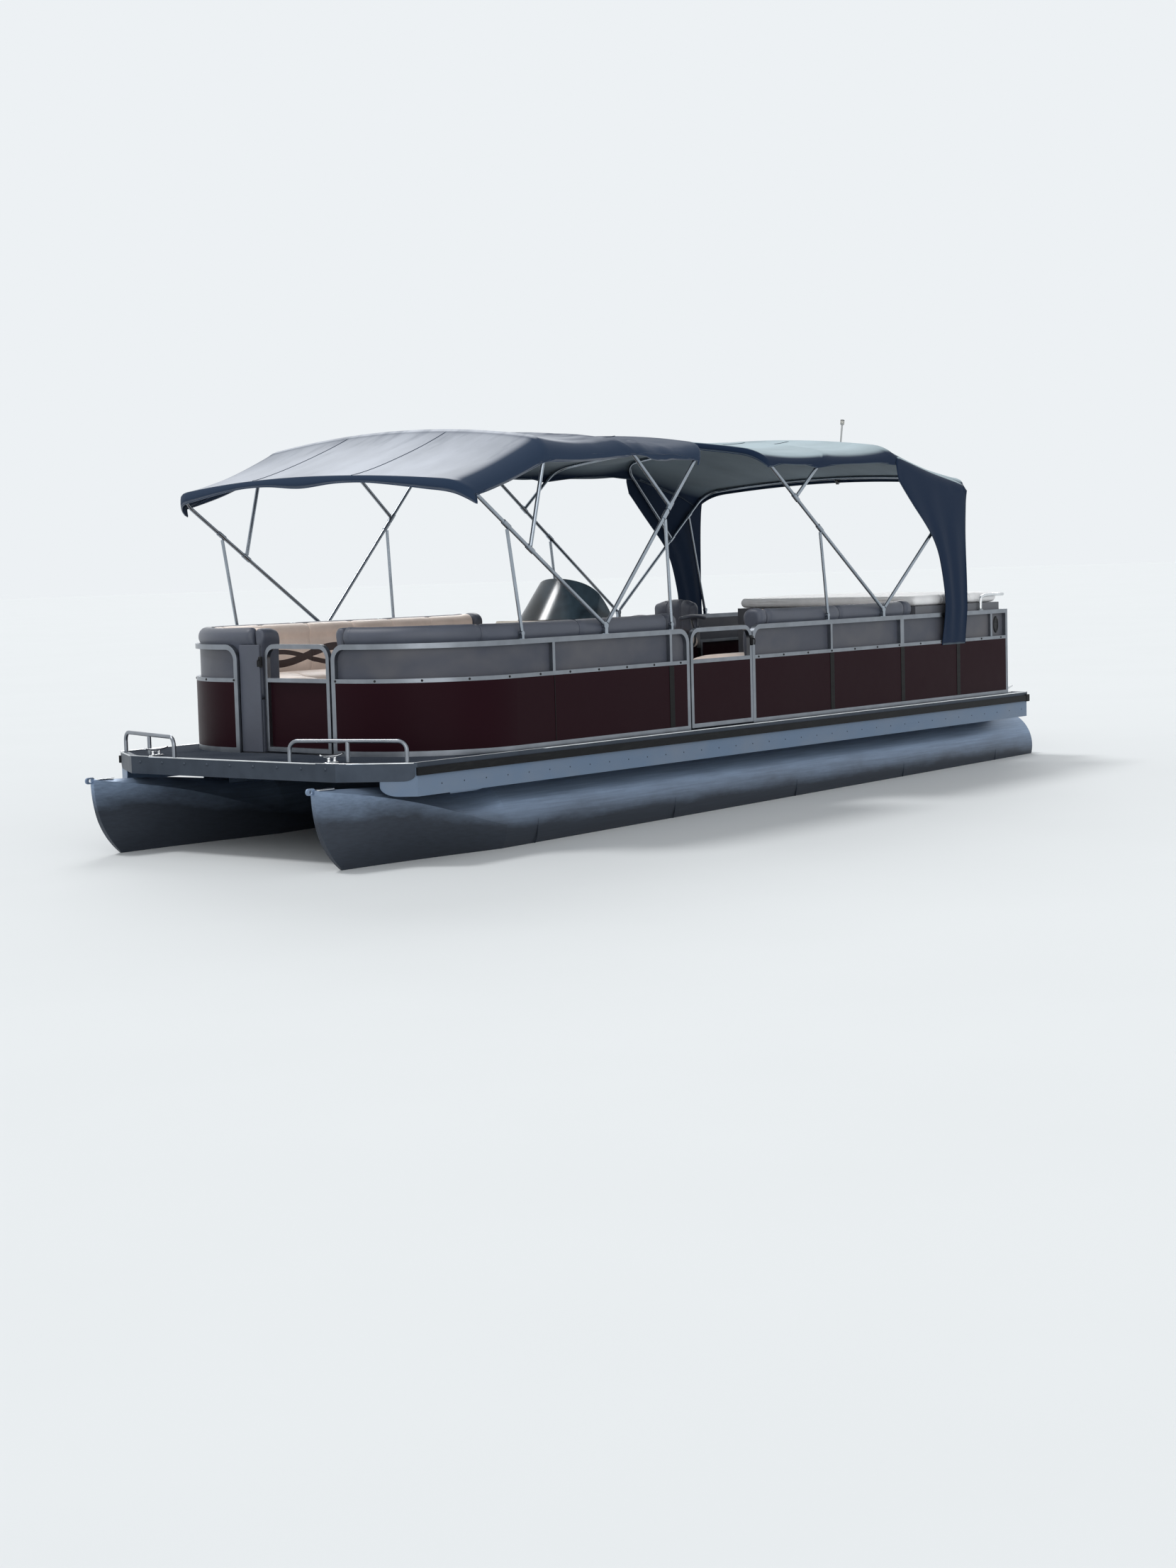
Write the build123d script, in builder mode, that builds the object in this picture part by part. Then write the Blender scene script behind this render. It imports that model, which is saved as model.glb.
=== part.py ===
"""Pontoon boat: two welded aluminium tubes, a fenced deck, two folding tops and a raised outboard.

Frame: millimetres, +X forward, +Y to port, +Z up.  Z = 0 is the underside of the keels.
Lengths along the boat are counted from the aft edge of the deck by station().
"""
from math import cos, hypot, radians, sin, sqrt
import os

from build123d import *

os.makedirs("parts", exist_ok=True)

PORT, STARBOARD = 1, -1
SIDES = {"port": PORT, "starboard": STARBOARD}

# Overall sizes
beam = 2590
deck_length = 7590
stern_to_origin = 3137
clearance = 0.3
running_fit = 0.1

# Pontoons
tube_radius = 265
tube_offset = 951
tube_aft = -188
tube_fore = 6450
nose_tip = 7840
keel_height = 20
keel_width = 44
tube_z = keel_height + tube_radius
riser_gap = 85
eye_at = 7858
eye_z = 598
eye_hole = 12
eye_plate = 12

# Deck framing
beam_height = 76
beam_width = 50
beam_wall = 5
beam_count = 18
deck_thickness = 19
corner_length = 270
corner_width = 410
beam_z = tube_z + tube_radius + riser_gap
deck_under = beam_z + beam_height
deck_top = deck_under + deck_thickness
trim_wall = 4
trim_lip = 3
rub_height = 47
rub_depth = 12
skirt_height = 122
skirt_fore = 7430
apron_height = 80

# Fence
rail = 32
mid_rail = 25
post = 25
fence_offset = 1222
fence_front = 7083
fence_aft = 259
corner_radius = 740
lower_panel_height = 410
upper_panel_height = 178
panel_sheet = 3
bow_post = 423
gate_corner = 90
base_rail_z = deck_top
mid_rail_z = base_rail_z + rail + lower_panel_height
top_rail_z = mid_rail_z + mid_rail + upper_panel_height
fence_top = top_rail_z + rail

# Gates
gate_gap = 16
gate_tube = 28
gate_lift = 12
side_gate_fore = 4540
side_gate_aft = 3822
bow_gate_width = 600
bow_gate_ajar = 4
stern_gate_port = -520
stern_gate_width = 600
hinge_setback = 26
pin_radius = 4
knuckle_radius = 8
knuckle_height = 36
leaf_width = 17


def station(distance):
    """X of a point this far forward of the aft edge of the deck."""
    return distance - stern_to_origin


def save(builder, name):
    """Label one finished piece and write its STEP file."""
    builder.part.label = name
    export_step(builder.part, f"parts/{name}.step")


def corner_cut(inset):
    """Length and width of the cut front corner, on the deck outline moved in by inset."""
    slant = hypot(corner_length, corner_width)
    length = corner_length - inset * (1 + (corner_length - slant) / corner_width)
    width = corner_width - inset * (1 + (corner_width - slant) / corner_length)
    return length, width


def deck_outline(inset=0):
    """Deck plan as a closed line, moved in by inset, with both front corners cut."""
    fore = station(deck_length) - inset
    aft = station(0) + inset
    half = beam / 2 - inset
    length, width = corner_cut(inset)
    Polyline(
        (aft, -half),
        (fore - length, -half),
        (fore, -half + width),
        (fore, half - width),
        (fore - length, half),
        (aft, half),
        close=True,
    )


def corner_wedge(plane, turn, depth):
    """What a rounding takes off a square corner: X and Y of the plane point into the material."""
    bite = turn * (1 - cos(radians(45)))
    with BuildPart() as wedge:
        with BuildSketch(plane):
            with BuildLine():
                Polyline((0, turn), (0, 0), (turn, 0))
                ThreePointArc((turn, 0), (bite, bite), (0, turn))
            make_face()
        extrude(amount=depth, both=True)
    return wedge.part


# Pontoons: a closed tube with a creased V nose, its keel and its riser brackets
# Section of the nose: station, half width at the crease, height of crease, height of keel, crown, belly
nose_sections = [
    (6450, 265, 285, 20, 265, 78),
    (6950, 222, 425, 22, 118, 52),
    (7350, 150, 522, 40, 58, 26),
    (7640, 74, 572, 92, 22, 10),
    (7862, 10, 606, 150, 5, 1),
]


def nose_section(side, half_width, crease, keel, crown, belly):
    """One closed section: a flat crown over two bellied sides that meet at the keel."""
    y = side * tube_offset
    left, right, bottom = (y - half_width, crease), (y + half_width, crease), (y, keel)
    middle = ((half_width / 2), (crease + keel) / 2)
    slope = hypot(half_width, crease - keel)
    out_y = belly * (crease - keel) / slope
    out_z = belly * half_width / slope
    ThreePointArc(left, (y, crease + crown), right)
    ThreePointArc(right, (y + middle[0] + out_y, middle[1] - out_z), bottom)
    ThreePointArc(bottom, (y - middle[0] - out_y, middle[1] - out_z), left)


for name, side in SIDES.items():
    with BuildPart() as nose:
        for at, half_width, crease, keel, crown, belly in nose_sections:
            with BuildSketch(Plane.YZ.offset(station(at))):
                with BuildLine():
                    nose_section(side, half_width, crease, keel, crown, belly)
                make_face()
        loft()
        with BuildSketch(Plane.XZ.offset(-side * tube_offset)):
            with BuildLine():
                Polyline(
                    (station(tube_fore), 0),
                    (station(7150), 20),
                )
                ThreePointArc((station(7150), 20), (station(7640), 135), (station(7795), 340))
                ThreePointArc((station(7795), 340), (station(7830), 465), (station(nose_tip), 612))
                Polyline(
                    (station(nose_tip), 612),
                    (station(nose_tip), 640),
                    (station(tube_fore), 640),
                    (station(tube_fore), 0),
                )
            make_face()
        extrude(amount=tube_radius + 10, both=True, mode=Mode.INTERSECT)
    with BuildPart() as pontoon:
        with BuildSketch(Plane.YZ.offset(station(tube_aft))):
            with Locations((side * tube_offset, tube_z)):
                Circle(tube_radius)
        extrude(amount=tube_fore - tube_aft)
        add(nose.part)
        with BuildSketch(Plane.XY):
            with Locations((station((tube_aft + 7100) / 2), side * tube_offset)):
                Rectangle(7100 - tube_aft, keel_width)
        extrude(amount=keel_height + 12)
        with BuildSketch(Plane.XZ.offset(-side * tube_offset)):
            with Locations((station(eye_at), eye_z)):
                SlotOverall(70, 40)
                Circle(eye_hole, mode=Mode.SUBTRACT)
        extrude(amount=eye_plate / 2, both=True)
        for y in (-120, 120):
            with BuildSketch(Plane.XY.offset(beam_z)):
                with Locations((station(3500), side * tube_offset + y)):
                    Rectangle(6600, 50)
            extrude(amount=-6)
            with BuildSketch(Plane.XY.offset(beam_z)):
                with Locations((station(3500), side * tube_offset + y)):
                    Rectangle(6600, 6)
            extrude(amount=-(riser_gap + 50))
    save(pontoon, f"{name}_pontoon")

# Cross members: open channels from side to side under the deck
beam_pitch = (deck_length - 500) / (beam_count - 1)
beam_inset = rub_depth + 2 * trim_wall + 3
with BuildPart() as cross_members:
    for i in range(beam_count):
        at = 130 + i * beam_pitch
        x = station(at)
        length, width = corner_cut(beam_inset)
        past_corner = max(0, at + beam_width / 2 - (deck_length - beam_inset - length))
        with BuildSketch(Plane.XZ):
            with Locations((x, beam_z + beam_height / 2)):
                Rectangle(beam_width, beam_height)
            with Locations((x + beam_wall, beam_z + beam_height / 2)):
                Rectangle(beam_width, beam_height - 2 * beam_wall, mode=Mode.SUBTRACT)
        extrude(amount=beam / 2 - beam_inset - past_corner * width / length, both=True)
save(cross_members, "cross_members")

# Deck board
with BuildPart() as deck:
    with BuildSketch(Plane.XY.offset(deck_under)):
        with BuildLine():
            deck_outline(rub_depth + trim_wall)
        make_face()
    extrude(amount=deck_thickness)
save(deck, "deck")

# Edge trim round the whole deck, with a deeper apron round the front
with BuildPart() as deck_trim:
    with BuildSketch(Plane.XY.offset(deck_top - 25)):
        with BuildLine():
            deck_outline(rub_depth)
        make_face()
        with BuildLine():
            deck_outline(rub_depth + trim_wall)
        make_face(mode=Mode.SUBTRACT)
    extrude(amount=25)
    with BuildSketch(Plane.XY.offset(deck_top)):
        with BuildLine():
            deck_outline(rub_depth)
        make_face()
        with BuildLine():
            deck_outline(rub_depth + 40)
        make_face(mode=Mode.SUBTRACT)
    extrude(amount=trim_lip)
    with BuildSketch(Plane.XY.offset(deck_top - 25)):
        with BuildLine():
            deck_outline(rub_depth)
        make_face()
        with BuildLine():
            deck_outline(rub_depth + trim_wall)
        make_face(mode=Mode.SUBTRACT)
        with Locations((station((deck_length - corner_length) / 2), 0)):
            Rectangle(deck_length - corner_length, beam, mode=Mode.SUBTRACT)
    extrude(amount=-apron_height)
    apron_corner = Plane(
        origin=(station(deck_length - corner_length), 0, deck_top - 25 - apron_height),
        x_dir=(1, 0, 0),
        z_dir=(0, -1, 0),
    )
    add(corner_wedge(apron_corner, 40, beam), mode=Mode.SUBTRACT)
save(deck_trim, "deck_trim")

# Rub rails: one padded strip along each side
with BuildPart() as rub_rail:
    for side in SIDES.values():
        with BuildSketch(Plane.XY.offset(deck_top - 25)):
            depth = rub_depth + trim_wall
            with Locations((station((deck_length - corner_length) / 2), side * (beam - depth) / 2)):
                Rectangle(deck_length - corner_length, depth)
        extrude(amount=-rub_height)
save(rub_rail, "rub_rail")

# Side skirts behind the rub rails: they follow the cut corners a little way
skirt_inset = rub_depth + trim_wall + clearance
skirt_low = deck_top - 25 - rub_height - skirt_height
with BuildPart() as side_skirts:
    with BuildSketch(Plane.XY.offset(skirt_low)):
        with BuildLine():
            deck_outline(skirt_inset)
        make_face()
        with BuildLine():
            deck_outline(skirt_inset + trim_wall)
        make_face(mode=Mode.SUBTRACT)
        with Locations((station(0), 0)):
            Rectangle(100, beam - 2 * (skirt_inset + trim_wall), mode=Mode.SUBTRACT)
        with Locations((station(skirt_fore) + 500, 0)):
            Rectangle(1000, beam, mode=Mode.SUBTRACT)
    extrude(amount=rub_height + skirt_height)
    skirt_corner = Plane(
        origin=(station(skirt_fore), 0, skirt_low), x_dir=(-1, 0, 0), z_dir=(0, 1, 0)
    )
    add(corner_wedge(skirt_corner, 60, beam), mode=Mode.SUBTRACT)
save(side_skirts, "side_skirts")

# Mooring fittings: four cleats on the deck
with BuildPart() as mooring_fittings:
    for side in SIDES.values():
        for at, inboard in ((7480, 535), (140, 130)):
            x, y = station(at), side * (beam / 2 - inboard)
            with BuildSketch(Plane.XY.offset(deck_top)):
                with Locations((x, y)):
                    SlotOverall(110, 40)
            extrude(amount=6)
            with BuildSketch(Plane.XY.offset(deck_top + 6)):
                with Locations((x - 25, y), (x + 25, y)):
                    Circle(9)
            extrude(amount=26)
            with BuildSketch(Plane.XY.offset(deck_top + 28)):
                with Locations((x, y)):
                    SlotOverall(190, 20)
            extrude(amount=16)
save(mooring_fittings, "mooring_fittings")

# Guard rails: a low hoop on each front corner
guard_height = 125
guard_tube = 12.5
guard_turn = 55
with BuildPart() as bow_rails:
    for side in SIDES.values():
        ends = [(station(7565), side * 500), (station(7325), side * 1215)]
        (x0, y0), (x1, y1) = ends
        length = hypot(x1 - x0, y1 - y0)
        hoop = Plane(
            origin=(x0, y0, deck_top + trim_lip),
            x_dir=(x1 - x0, y1 - y0, 0),
            z_dir=(y1 - y0, x0 - x1, 0),
        )
        with BuildLine(hoop) as path:
            FilletPolyline(
                (0, 0),
                (0, guard_height),
                (length, guard_height),
                (length, 0),
                radius=guard_turn,
            )
        with BuildSketch(Plane(origin=hoop.origin, z_dir=(0, 0, 1))):
            Circle(guard_tube)
        sweep(path=path.wires()[0])
        with BuildSketch(Plane(origin=hoop.from_local_coords((length / 2, 0, 0)), z_dir=(0, 0, 1))):
            Circle(guard_tube)
        extrude(amount=guard_height)
save(bow_rails, "bow_rails")


# Fence sections
def fence_line(side, start, end, offset):
    """Plan line from a station on the side, round the bow corner, to a point across the front."""
    y = side * (fence_offset + offset)
    x = station(fence_front) + offset
    turn = corner_radius + offset
    middle = turn * (1 - cos(radians(45)))
    Line((station(start), y), (x - turn, y))
    ThreePointArc((x - turn, y), (x - middle, y - side * middle), (x, y - side * turn))
    Line((x, y - side * turn), (x, side * end))
    return (station(start), y), (x, side * end)


def fence_band(side, start, end, offset, width):
    """Plan of a strip of this width that follows the fence line."""
    with BuildSketch() as band:
        with BuildLine():
            aft_outer, fore_outer = fence_line(side, start, end, offset + width / 2)
            aft_inner, fore_inner = fence_line(side, start, end, offset - width / 2)
            Line(aft_outer, aft_inner)
            Line(fore_outer, fore_inner)
        make_face()
    return band.sketch


port_section_fore = side_gate_fore + gate_gap
port_section_aft = side_gate_aft - gate_gap
# Posts of each straight run: station, width
bow_posts = [(5980, post), (4760, post)]
aft_posts = [(2820, post), (1850, 50), (1025, post)]


def rails_along(side, start, end):
    """Base, middle and top rail that follow one plan line."""
    with BuildPart() as rails:
        for z, height in ((base_rail_z, rail), (mid_rail_z, mid_rail), (top_rail_z, rail)):
            with BuildSketch(Plane.XY.offset(z)):
                add(fence_band(side, start, end, 0, rail))
            extrude(amount=height)
    return rails.part


def block(x, y, low, size_x, size_y, high):
    """An upright box between two heights."""
    with Locations((x, y, low)):
        Box(size_x, size_y, high - low, align=(Align.CENTER, Align.CENTER, Align.MIN))


def corner_post(x, y):
    """A full-height square post."""
    block(x, y, base_rail_z, rail, rail, fence_top)


def side_post(side, at, width):
    """A side post: behind the lower panel, in front of the upper one."""
    y = side * fence_offset
    shift = side * panel_sheet / 2
    depth = rail - panel_sheet
    block(station(at), y - shift, base_rail_z, width, depth, mid_rail_z + mid_rail)
    block(station(at), y + shift, mid_rail_z, width, depth, fence_top)


def stern_post(y, width):
    """The same post in the stern run, which faces aft."""
    x = station(fence_aft)
    shift = panel_sheet / 2
    depth = rail - panel_sheet
    block(x + shift, y, base_rail_z, depth, width, mid_rail_z + mid_rail)
    block(x - shift, y, mid_rail_z, depth, width, fence_top)


jamb_turn = 100


def jamb_corner(x, y, along):
    """Top corner of a fence section at a gate: X along the section, Y down."""
    return Plane(origin=(x, y, fence_top), x_dir=along, z_dir=Vector(*along).cross(Vector(0, 0, -1)))


def corner_tube(corner, outward):
    """Quarter bend of the rail tube inside a rounded jamb corner, in front of the upper sheet."""
    inner = jamb_turn - rail
    bite, inner_bite = jamb_turn * (1 - cos(radians(45))), jamb_turn - inner * cos(radians(45))
    way = 1 if corner.z_dir.dot(Vector(*outward)) > 0 else -1
    inner_face = rail / 2 - panel_sheet - clearance
    with BuildPart() as bend:
        with BuildSketch(corner.offset(-way * inner_face)):
            with BuildLine():
                ThreePointArc((jamb_turn, 0), (bite, bite), (0, jamb_turn))
                Line((0, jamb_turn), (rail, jamb_turn))
                ThreePointArc((rail, jamb_turn), (inner_bite, inner_bite), (jamb_turn, rail))
                Line((jamb_turn, rail), (jamb_turn, 0))
            make_face()
        extrude(amount=way * (inner_face + rail / 2))
    return bend.part


hinge_gap = gate_gap / 2
hinge_heights = (base_rail_z + 150, mid_rail_z + 60)
side_gate_hinge = (station(side_gate_fore), fence_offset)
bow_gate_hinge = (station(fence_front), bow_post - rail / 2 - gate_gap)
stern_gate_hinge = (station(fence_aft), stern_gate_port)


def hinge_axis(x, y, along, inward):
    """Pin line of a gate: half the gap short of its edge, inside the fence."""
    return Vector(x, y) - Vector(*along) * hinge_gap + Vector(*inward) * hinge_setback


def knuckle(axis, run, out, z, half, bore):
    """Round knuckle on a leaf that lies on the inner face of a tube this thick by two."""
    leaf = Plane(origin=Vector(axis.X, axis.Y, z), x_dir=run, z_dir=(0, 0, 1))
    up = 1 if leaf.y_dir.dot(out) > 0 else -1
    with BuildPart() as hinge:
        with BuildSketch(leaf):
            Circle(knuckle_radius)
            near, far = knuckle_radius - 2, hinge_setback - half
            with Locations((hinge_gap + leaf_width / 2, up * (near + far) / 2)):
                Rectangle(leaf_width, abs(far - near))
            with Locations((hinge_gap, up * (knuckle_radius - 1 + near) / 2)):
                Rectangle(2 * hinge_gap, 5)
            if bore:
                Circle(bore, mode=Mode.SUBTRACT)
        extrude(amount=knuckle_height)
    return hinge.part


def fixed_hinges(x, y, along, inward):
    """Lower knuckles with their pins, on the jamb of a gate."""
    axis = hinge_axis(x, y, along, inward)
    with BuildPart() as pins:
        for z in hinge_heights:
            add(knuckle(axis, Vector(*along) * -1, Vector(*inward) * -1, z, rail / 2, 0))
            with BuildSketch(Plane.XY.offset(z + knuckle_height)):
                with Locations((axis.X, axis.Y)):
                    Circle(pin_radius)
            extrude(amount=knuckle_height + 4)
    return pins.part


with BuildPart() as port_bow_fence:
    add(rails_along(PORT, port_section_fore, bow_post))
    corner_post(station(fence_front), bow_post)
    corner_post(station(port_section_fore) + rail / 2, fence_offset)
    add(fixed_hinges(*side_gate_hinge, (-1, 0), (0, -1)))
    add(fixed_hinges(*bow_gate_hinge, (0, -1), (-1, 0)))
    for at, width in bow_posts:
        side_post(PORT, at, width)
    for x, y, along, outward in (
        (station(port_section_fore), fence_offset, (1, 0), (0, 1)),
        (station(fence_front), bow_post - rail / 2, (0, 1), (1, 0)),
    ):
        corner = jamb_corner(x, y, along)
        add(corner_tube(corner, outward))
        add(corner_wedge(corner, jamb_turn, rail / 2 + 1), mode=Mode.SUBTRACT)
save(port_bow_fence, "port_bow_fence")

with BuildPart() as port_aft_fence:
    for z, height in ((base_rail_z, rail), (mid_rail_z, mid_rail), (top_rail_z, rail)):
        with BuildSketch(Plane.XY.offset(z)):
            with Locations((station((port_section_aft + fence_aft) / 2), fence_offset)):
                Rectangle(port_section_aft - fence_aft + rail, rail)
        extrude(amount=height)
    corner_post(station(port_section_aft), fence_offset)
    corner_post(station(fence_aft), fence_offset)
    for at, width in aft_posts:
        side_post(PORT, at, width)
    corner = jamb_corner(station(port_section_aft) + rail / 2, fence_offset, (-1, 0))
    add(corner_tube(corner, (0, 1)))
    add(corner_wedge(corner, jamb_turn, rail / 2 + 1), mode=Mode.SUBTRACT)
save(port_aft_fence, "port_aft_fence")

with BuildPart() as starboard_fence:
    add(rails_along(STARBOARD, fence_aft, bow_post))
    corner_post(station(fence_front), -bow_post)
    corner_post(station(fence_aft) + rail / 2, -fence_offset)
    for at, width in bow_posts + [(3790, post)] + aft_posts:
        side_post(STARBOARD, at, width)
    corner = jamb_corner(station(fence_front), -bow_post + rail / 2, (0, -1))
    add(corner_tube(corner, (1, 0)))
    add(corner_wedge(corner, jamb_turn, rail / 2 + 1), mode=Mode.SUBTRACT)
save(starboard_fence, "starboard_fence")

stern_run_port = fence_offset - rail / 2 - clearance
stern_jamb = stern_gate_port + gate_gap
stern_gate_end = stern_gate_port - stern_gate_width - gate_gap
with BuildPart() as stern_fence:
    for low, high in ((stern_jamb, stern_run_port), (-fence_offset + rail / 2 + clearance, stern_gate_end)):
        for z, height in ((base_rail_z, rail), (mid_rail_z, mid_rail), (top_rail_z, rail)):
            with BuildSketch(Plane.XY.offset(z)):
                with Locations((station(fence_aft), (low + high) / 2)):
                    Rectangle(rail, abs(high - low))
            extrude(amount=height)
    corner_post(station(fence_aft), stern_jamb + rail / 2)
    add(fixed_hinges(*stern_gate_hinge, (0, -1), (1, 0)))
    stern_post(350, post)
    corner_post(station(fence_aft), stern_run_port - rail / 2)
    corner_post(station(fence_aft), stern_gate_end - rail / 2)
save(stern_fence, "stern_fence")


lower_sheet = (rail - panel_sheet) / 2
stern_panel_low = stern_jamb + rail
stern_panel_high = stern_run_port - rail


def panel_row(offset, z, height):
    """Sheets of one row round the boat: both bow runs, the port aft run and the stern."""
    with BuildPart() as row:
        with BuildSketch(Plane.XY.offset(z)):
            add(fence_band(PORT, port_section_fore + rail, bow_post + rail / 2, offset, panel_sheet))
            add(fence_band(STARBOARD, fence_aft + rail, bow_post + rail / 2, offset, panel_sheet))
            with Locations((station((port_section_aft + fence_aft) / 2), fence_offset + offset)):
                Rectangle(port_section_aft - fence_aft - rail, panel_sheet)
            with Locations((station(fence_aft) - offset, (stern_panel_low + stern_panel_high) / 2)):
                Rectangle(panel_sheet, stern_panel_high - stern_panel_low)
        extrude(amount=height)
    return row


lower_panels = panel_row(lower_sheet, base_rail_z + rail, lower_panel_height)
save(lower_panels, "lower_panels")
upper_panels = panel_row(-lower_sheet, mid_rail_z + mid_rail, upper_panel_height)
save(upper_panels, "upper_panels")


# Gates: a loop of round-cornered tube with a lower panel, on two knuckles
def gate_outline(width, low, high, inset):
    """Rectangle with rounded top corners, moved in by inset."""
    left, right, bottom, top = inset, width - inset, low + inset, high - inset
    turn = gate_corner - inset
    corner = turn * (1 - cos(radians(45)))
    Polyline((left, top - turn), (left, bottom), (right, bottom), (right, top - turn))
    ThreePointArc((right, top - turn), (right - corner, top - corner), (right - turn, top))
    Line((right - turn, top), (left + turn, top))
    ThreePointArc((left + turn, top), (left + corner, top - corner), (left, top - turn))


def gate_frame(plane, width):
    """Gate loop in elevation: plane.x runs from the hinge side, plane.y is up."""
    low = base_rail_z + gate_lift
    high = fence_top
    with BuildPart() as frame:
        with BuildSketch(plane):
            for inset, mode in ((0, Mode.ADD), (gate_tube, Mode.SUBTRACT)):
                with BuildLine():
                    gate_outline(width, low, high, inset)
                make_face(mode=mode)
            with Locations((width / 2, mid_rail_z + mid_rail / 2)):
                Rectangle(width - gate_tube, mid_rail)
        extrude(amount=gate_tube / 2, both=True)
    return frame.part


def gate_panel(plane, width):
    """Sheet in the lower half of a gate."""
    with BuildPart() as sheet:
        with BuildSketch(plane.offset(gate_tube / 2 - panel_sheet)):
            low = base_rail_z + gate_lift + gate_tube
            with Locations((width / 2, (low + mid_rail_z) / 2)):
                Rectangle(width - 2 * gate_tube, mid_rail_z - low)
        extrude(amount=panel_sheet)
    return sheet


# Gate: name, hinge corner X and Y, direction from its hinge, inward direction, width, ajar angle
gates = [
    ("side_gate", *side_gate_hinge, (-1, 0), (0, -1), side_gate_fore - side_gate_aft, 0),
    ("bow_gate", *bow_gate_hinge, (0, -1), (-1, 0), bow_gate_width, bow_gate_ajar),
    ("stern_gate", *stern_gate_hinge, (0, -1), (1, 0), stern_gate_width, 0),
]
for name, x, y, along, inward, width, ajar in gates:
    axis = hinge_axis(x, y, along, inward)
    turn = radians(ajar)
    run = Vector(*along) * cos(turn) + Vector(*inward) * sin(turn)
    out = Vector(*along) * sin(turn) - Vector(*inward) * cos(turn)
    corner = axis + run * hinge_gap + out * hinge_setback
    plane = Plane(origin=corner, x_dir=run, z_dir=run.cross(Vector(0, 0, 1)))
    with BuildPart() as gate:
        add(gate_frame(plane, width))
        for z in hinge_heights:
            add(knuckle(axis, run, out, z + knuckle_height + 1, gate_tube / 2, pin_radius + running_fit))
    save(gate, name)
    save(gate_panel(plane, width), f"{name}_panel")


# Folding tops: planar bows on pivots at the fence, braced to the top rail
bow_tube = 12.5
bow_half = 1238
bow_turn = 160
canopy_sheet = 8
canopy_gap = 0.8
canopy_sag = 12
canopy_drop = 150
sleeve_radius = 17
sleeve_length = 66
brace_tube = 11
pivot_radius = 22
mount_radius = 15
mount_height = 34
mount_width = 24
pivot_height = 52


def top_bows(pivot, fore, aft, fore_inner, aft_inner):
    """Bows of one top, each as foot station and height, corner station and height, rise."""
    foot = (pivot, fence_top + pivot_height)
    bows = {"fore": (*foot, *fore), "aft": (*foot, *aft)}
    for key, (up, *corner) in (("fore_inner", fore_inner), ("aft_inner", aft_inner)):
        foot_at, foot_z, top_at, top_z, rise = bows[key.split("_")[0]]
        share = up / hypot(top_at - foot_at, top_z - foot_z)
        x, z = foot_at + share * (top_at - foot_at), foot_z + share * (top_z - foot_z)
        bows[key] = (x, z, *corner)
    return bows


# Main bows: corner station and height, rise.  Inner bows: distance up the main leg first.
front_bows = top_bows(
    5453,
    fore=(6770, 2350, 120),
    aft=(4369, 2603, 150),
    fore_inner=(880, 6001, 2607, 110),
    aft_inner=(1040, 5199, 2613, 150),
)
rear_bows = top_bows(
    2115,
    fore=(3672, 2577, 200),
    aft=(890, 2410, 120),
    fore_inner=(1400, 2866, 2577, 200),
    aft_inner=(940, 1975, 2627, 140),
)
# Brace: distance of its sleeve up the main leg, station of its foot
front_braces = [(1145, 6280), (960, 4750)]
rear_braces = [(1030, 2865), (1250, 926)]


def bow_plane(foot_at, foot_z, top_at, top_z):
    """Plane of a bow: X to port, Y up along its legs, from the middle of its pivot line."""
    run = Vector(top_at - foot_at, 0, top_z - foot_z).normalized()
    return Plane(
        origin=(station(foot_at), 0, foot_z), x_dir=(0, 1, 0), z_dir=Vector(0, 1, 0).cross(run)
    )


def leg_run(bow):
    """Foot point, unit direction and length of a bow's leg, in the X Z plane."""
    foot_at, foot_z, top_at, top_z, rise = bow
    span = Vector(top_at - foot_at, 0, top_z - foot_z)
    return Vector(station(foot_at), 0, foot_z), span.normalized(), span.length


def hoop_line(half, low, corner, rise):
    """Two legs and a crown; heights are counted along the legs."""
    Line((-half, low), (-half, corner))
    ThreePointArc((-half, corner), (0, corner + rise), (half, corner))
    Line((half, corner), (half, low))


def make_bow(bow, start):
    """One bow in round tube, from this far up its legs."""
    foot, run, leg = leg_run(bow)
    with BuildPart() as hoop:
        with BuildLine(bow_plane(*bow[:4])) as path:
            hoop_line(bow_half, start, leg, bow[4])
            fillet(path.vertices().sort_by(Axis(foot, run))[-2:], bow_turn)
        wire = path.wires()[0]
        with BuildSketch(Plane(origin=wire @ 0, z_dir=wire % 0)):
            Circle(bow_tube)
        sweep(path=wire)
    return hoop.part


def end_gap(run, main_run, radius):
    """Distance from the axis of a leg at which the flat end of a tube beside it clears it."""
    across = run.cross(main_run).length
    return (bow_tube + clearance + radius * abs(run.dot(main_run))) / across


def sleeve(bow, distance):
    """Slide sleeves on both legs of a bow, this far up from its foot."""
    foot, run, leg = leg_run(bow)
    centre = foot + run * distance
    with BuildPart() as rings:
        for side in SIDES.values():
            with BuildSketch(Plane(origin=centre + Vector(0, side * bow_half, 0), z_dir=run)):
                Circle(sleeve_radius)
                Circle(bow_tube + clearance, mode=Mode.SUBTRACT)
            extrude(amount=sleeve_length / 2, both=True)
    return rings.part


def inner_bow(main, bow):
    """A secondary bow with the sleeves that carry it on the main bow."""
    foot, run, leg = leg_run(bow)
    main_foot, main_run, main_leg = leg_run(main)
    with BuildPart() as piece:
        add(make_bow(bow, end_gap(run, main_run, bow_tube)))
        add(sleeve(main, (foot - main_foot).length))
    return piece.part


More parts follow.
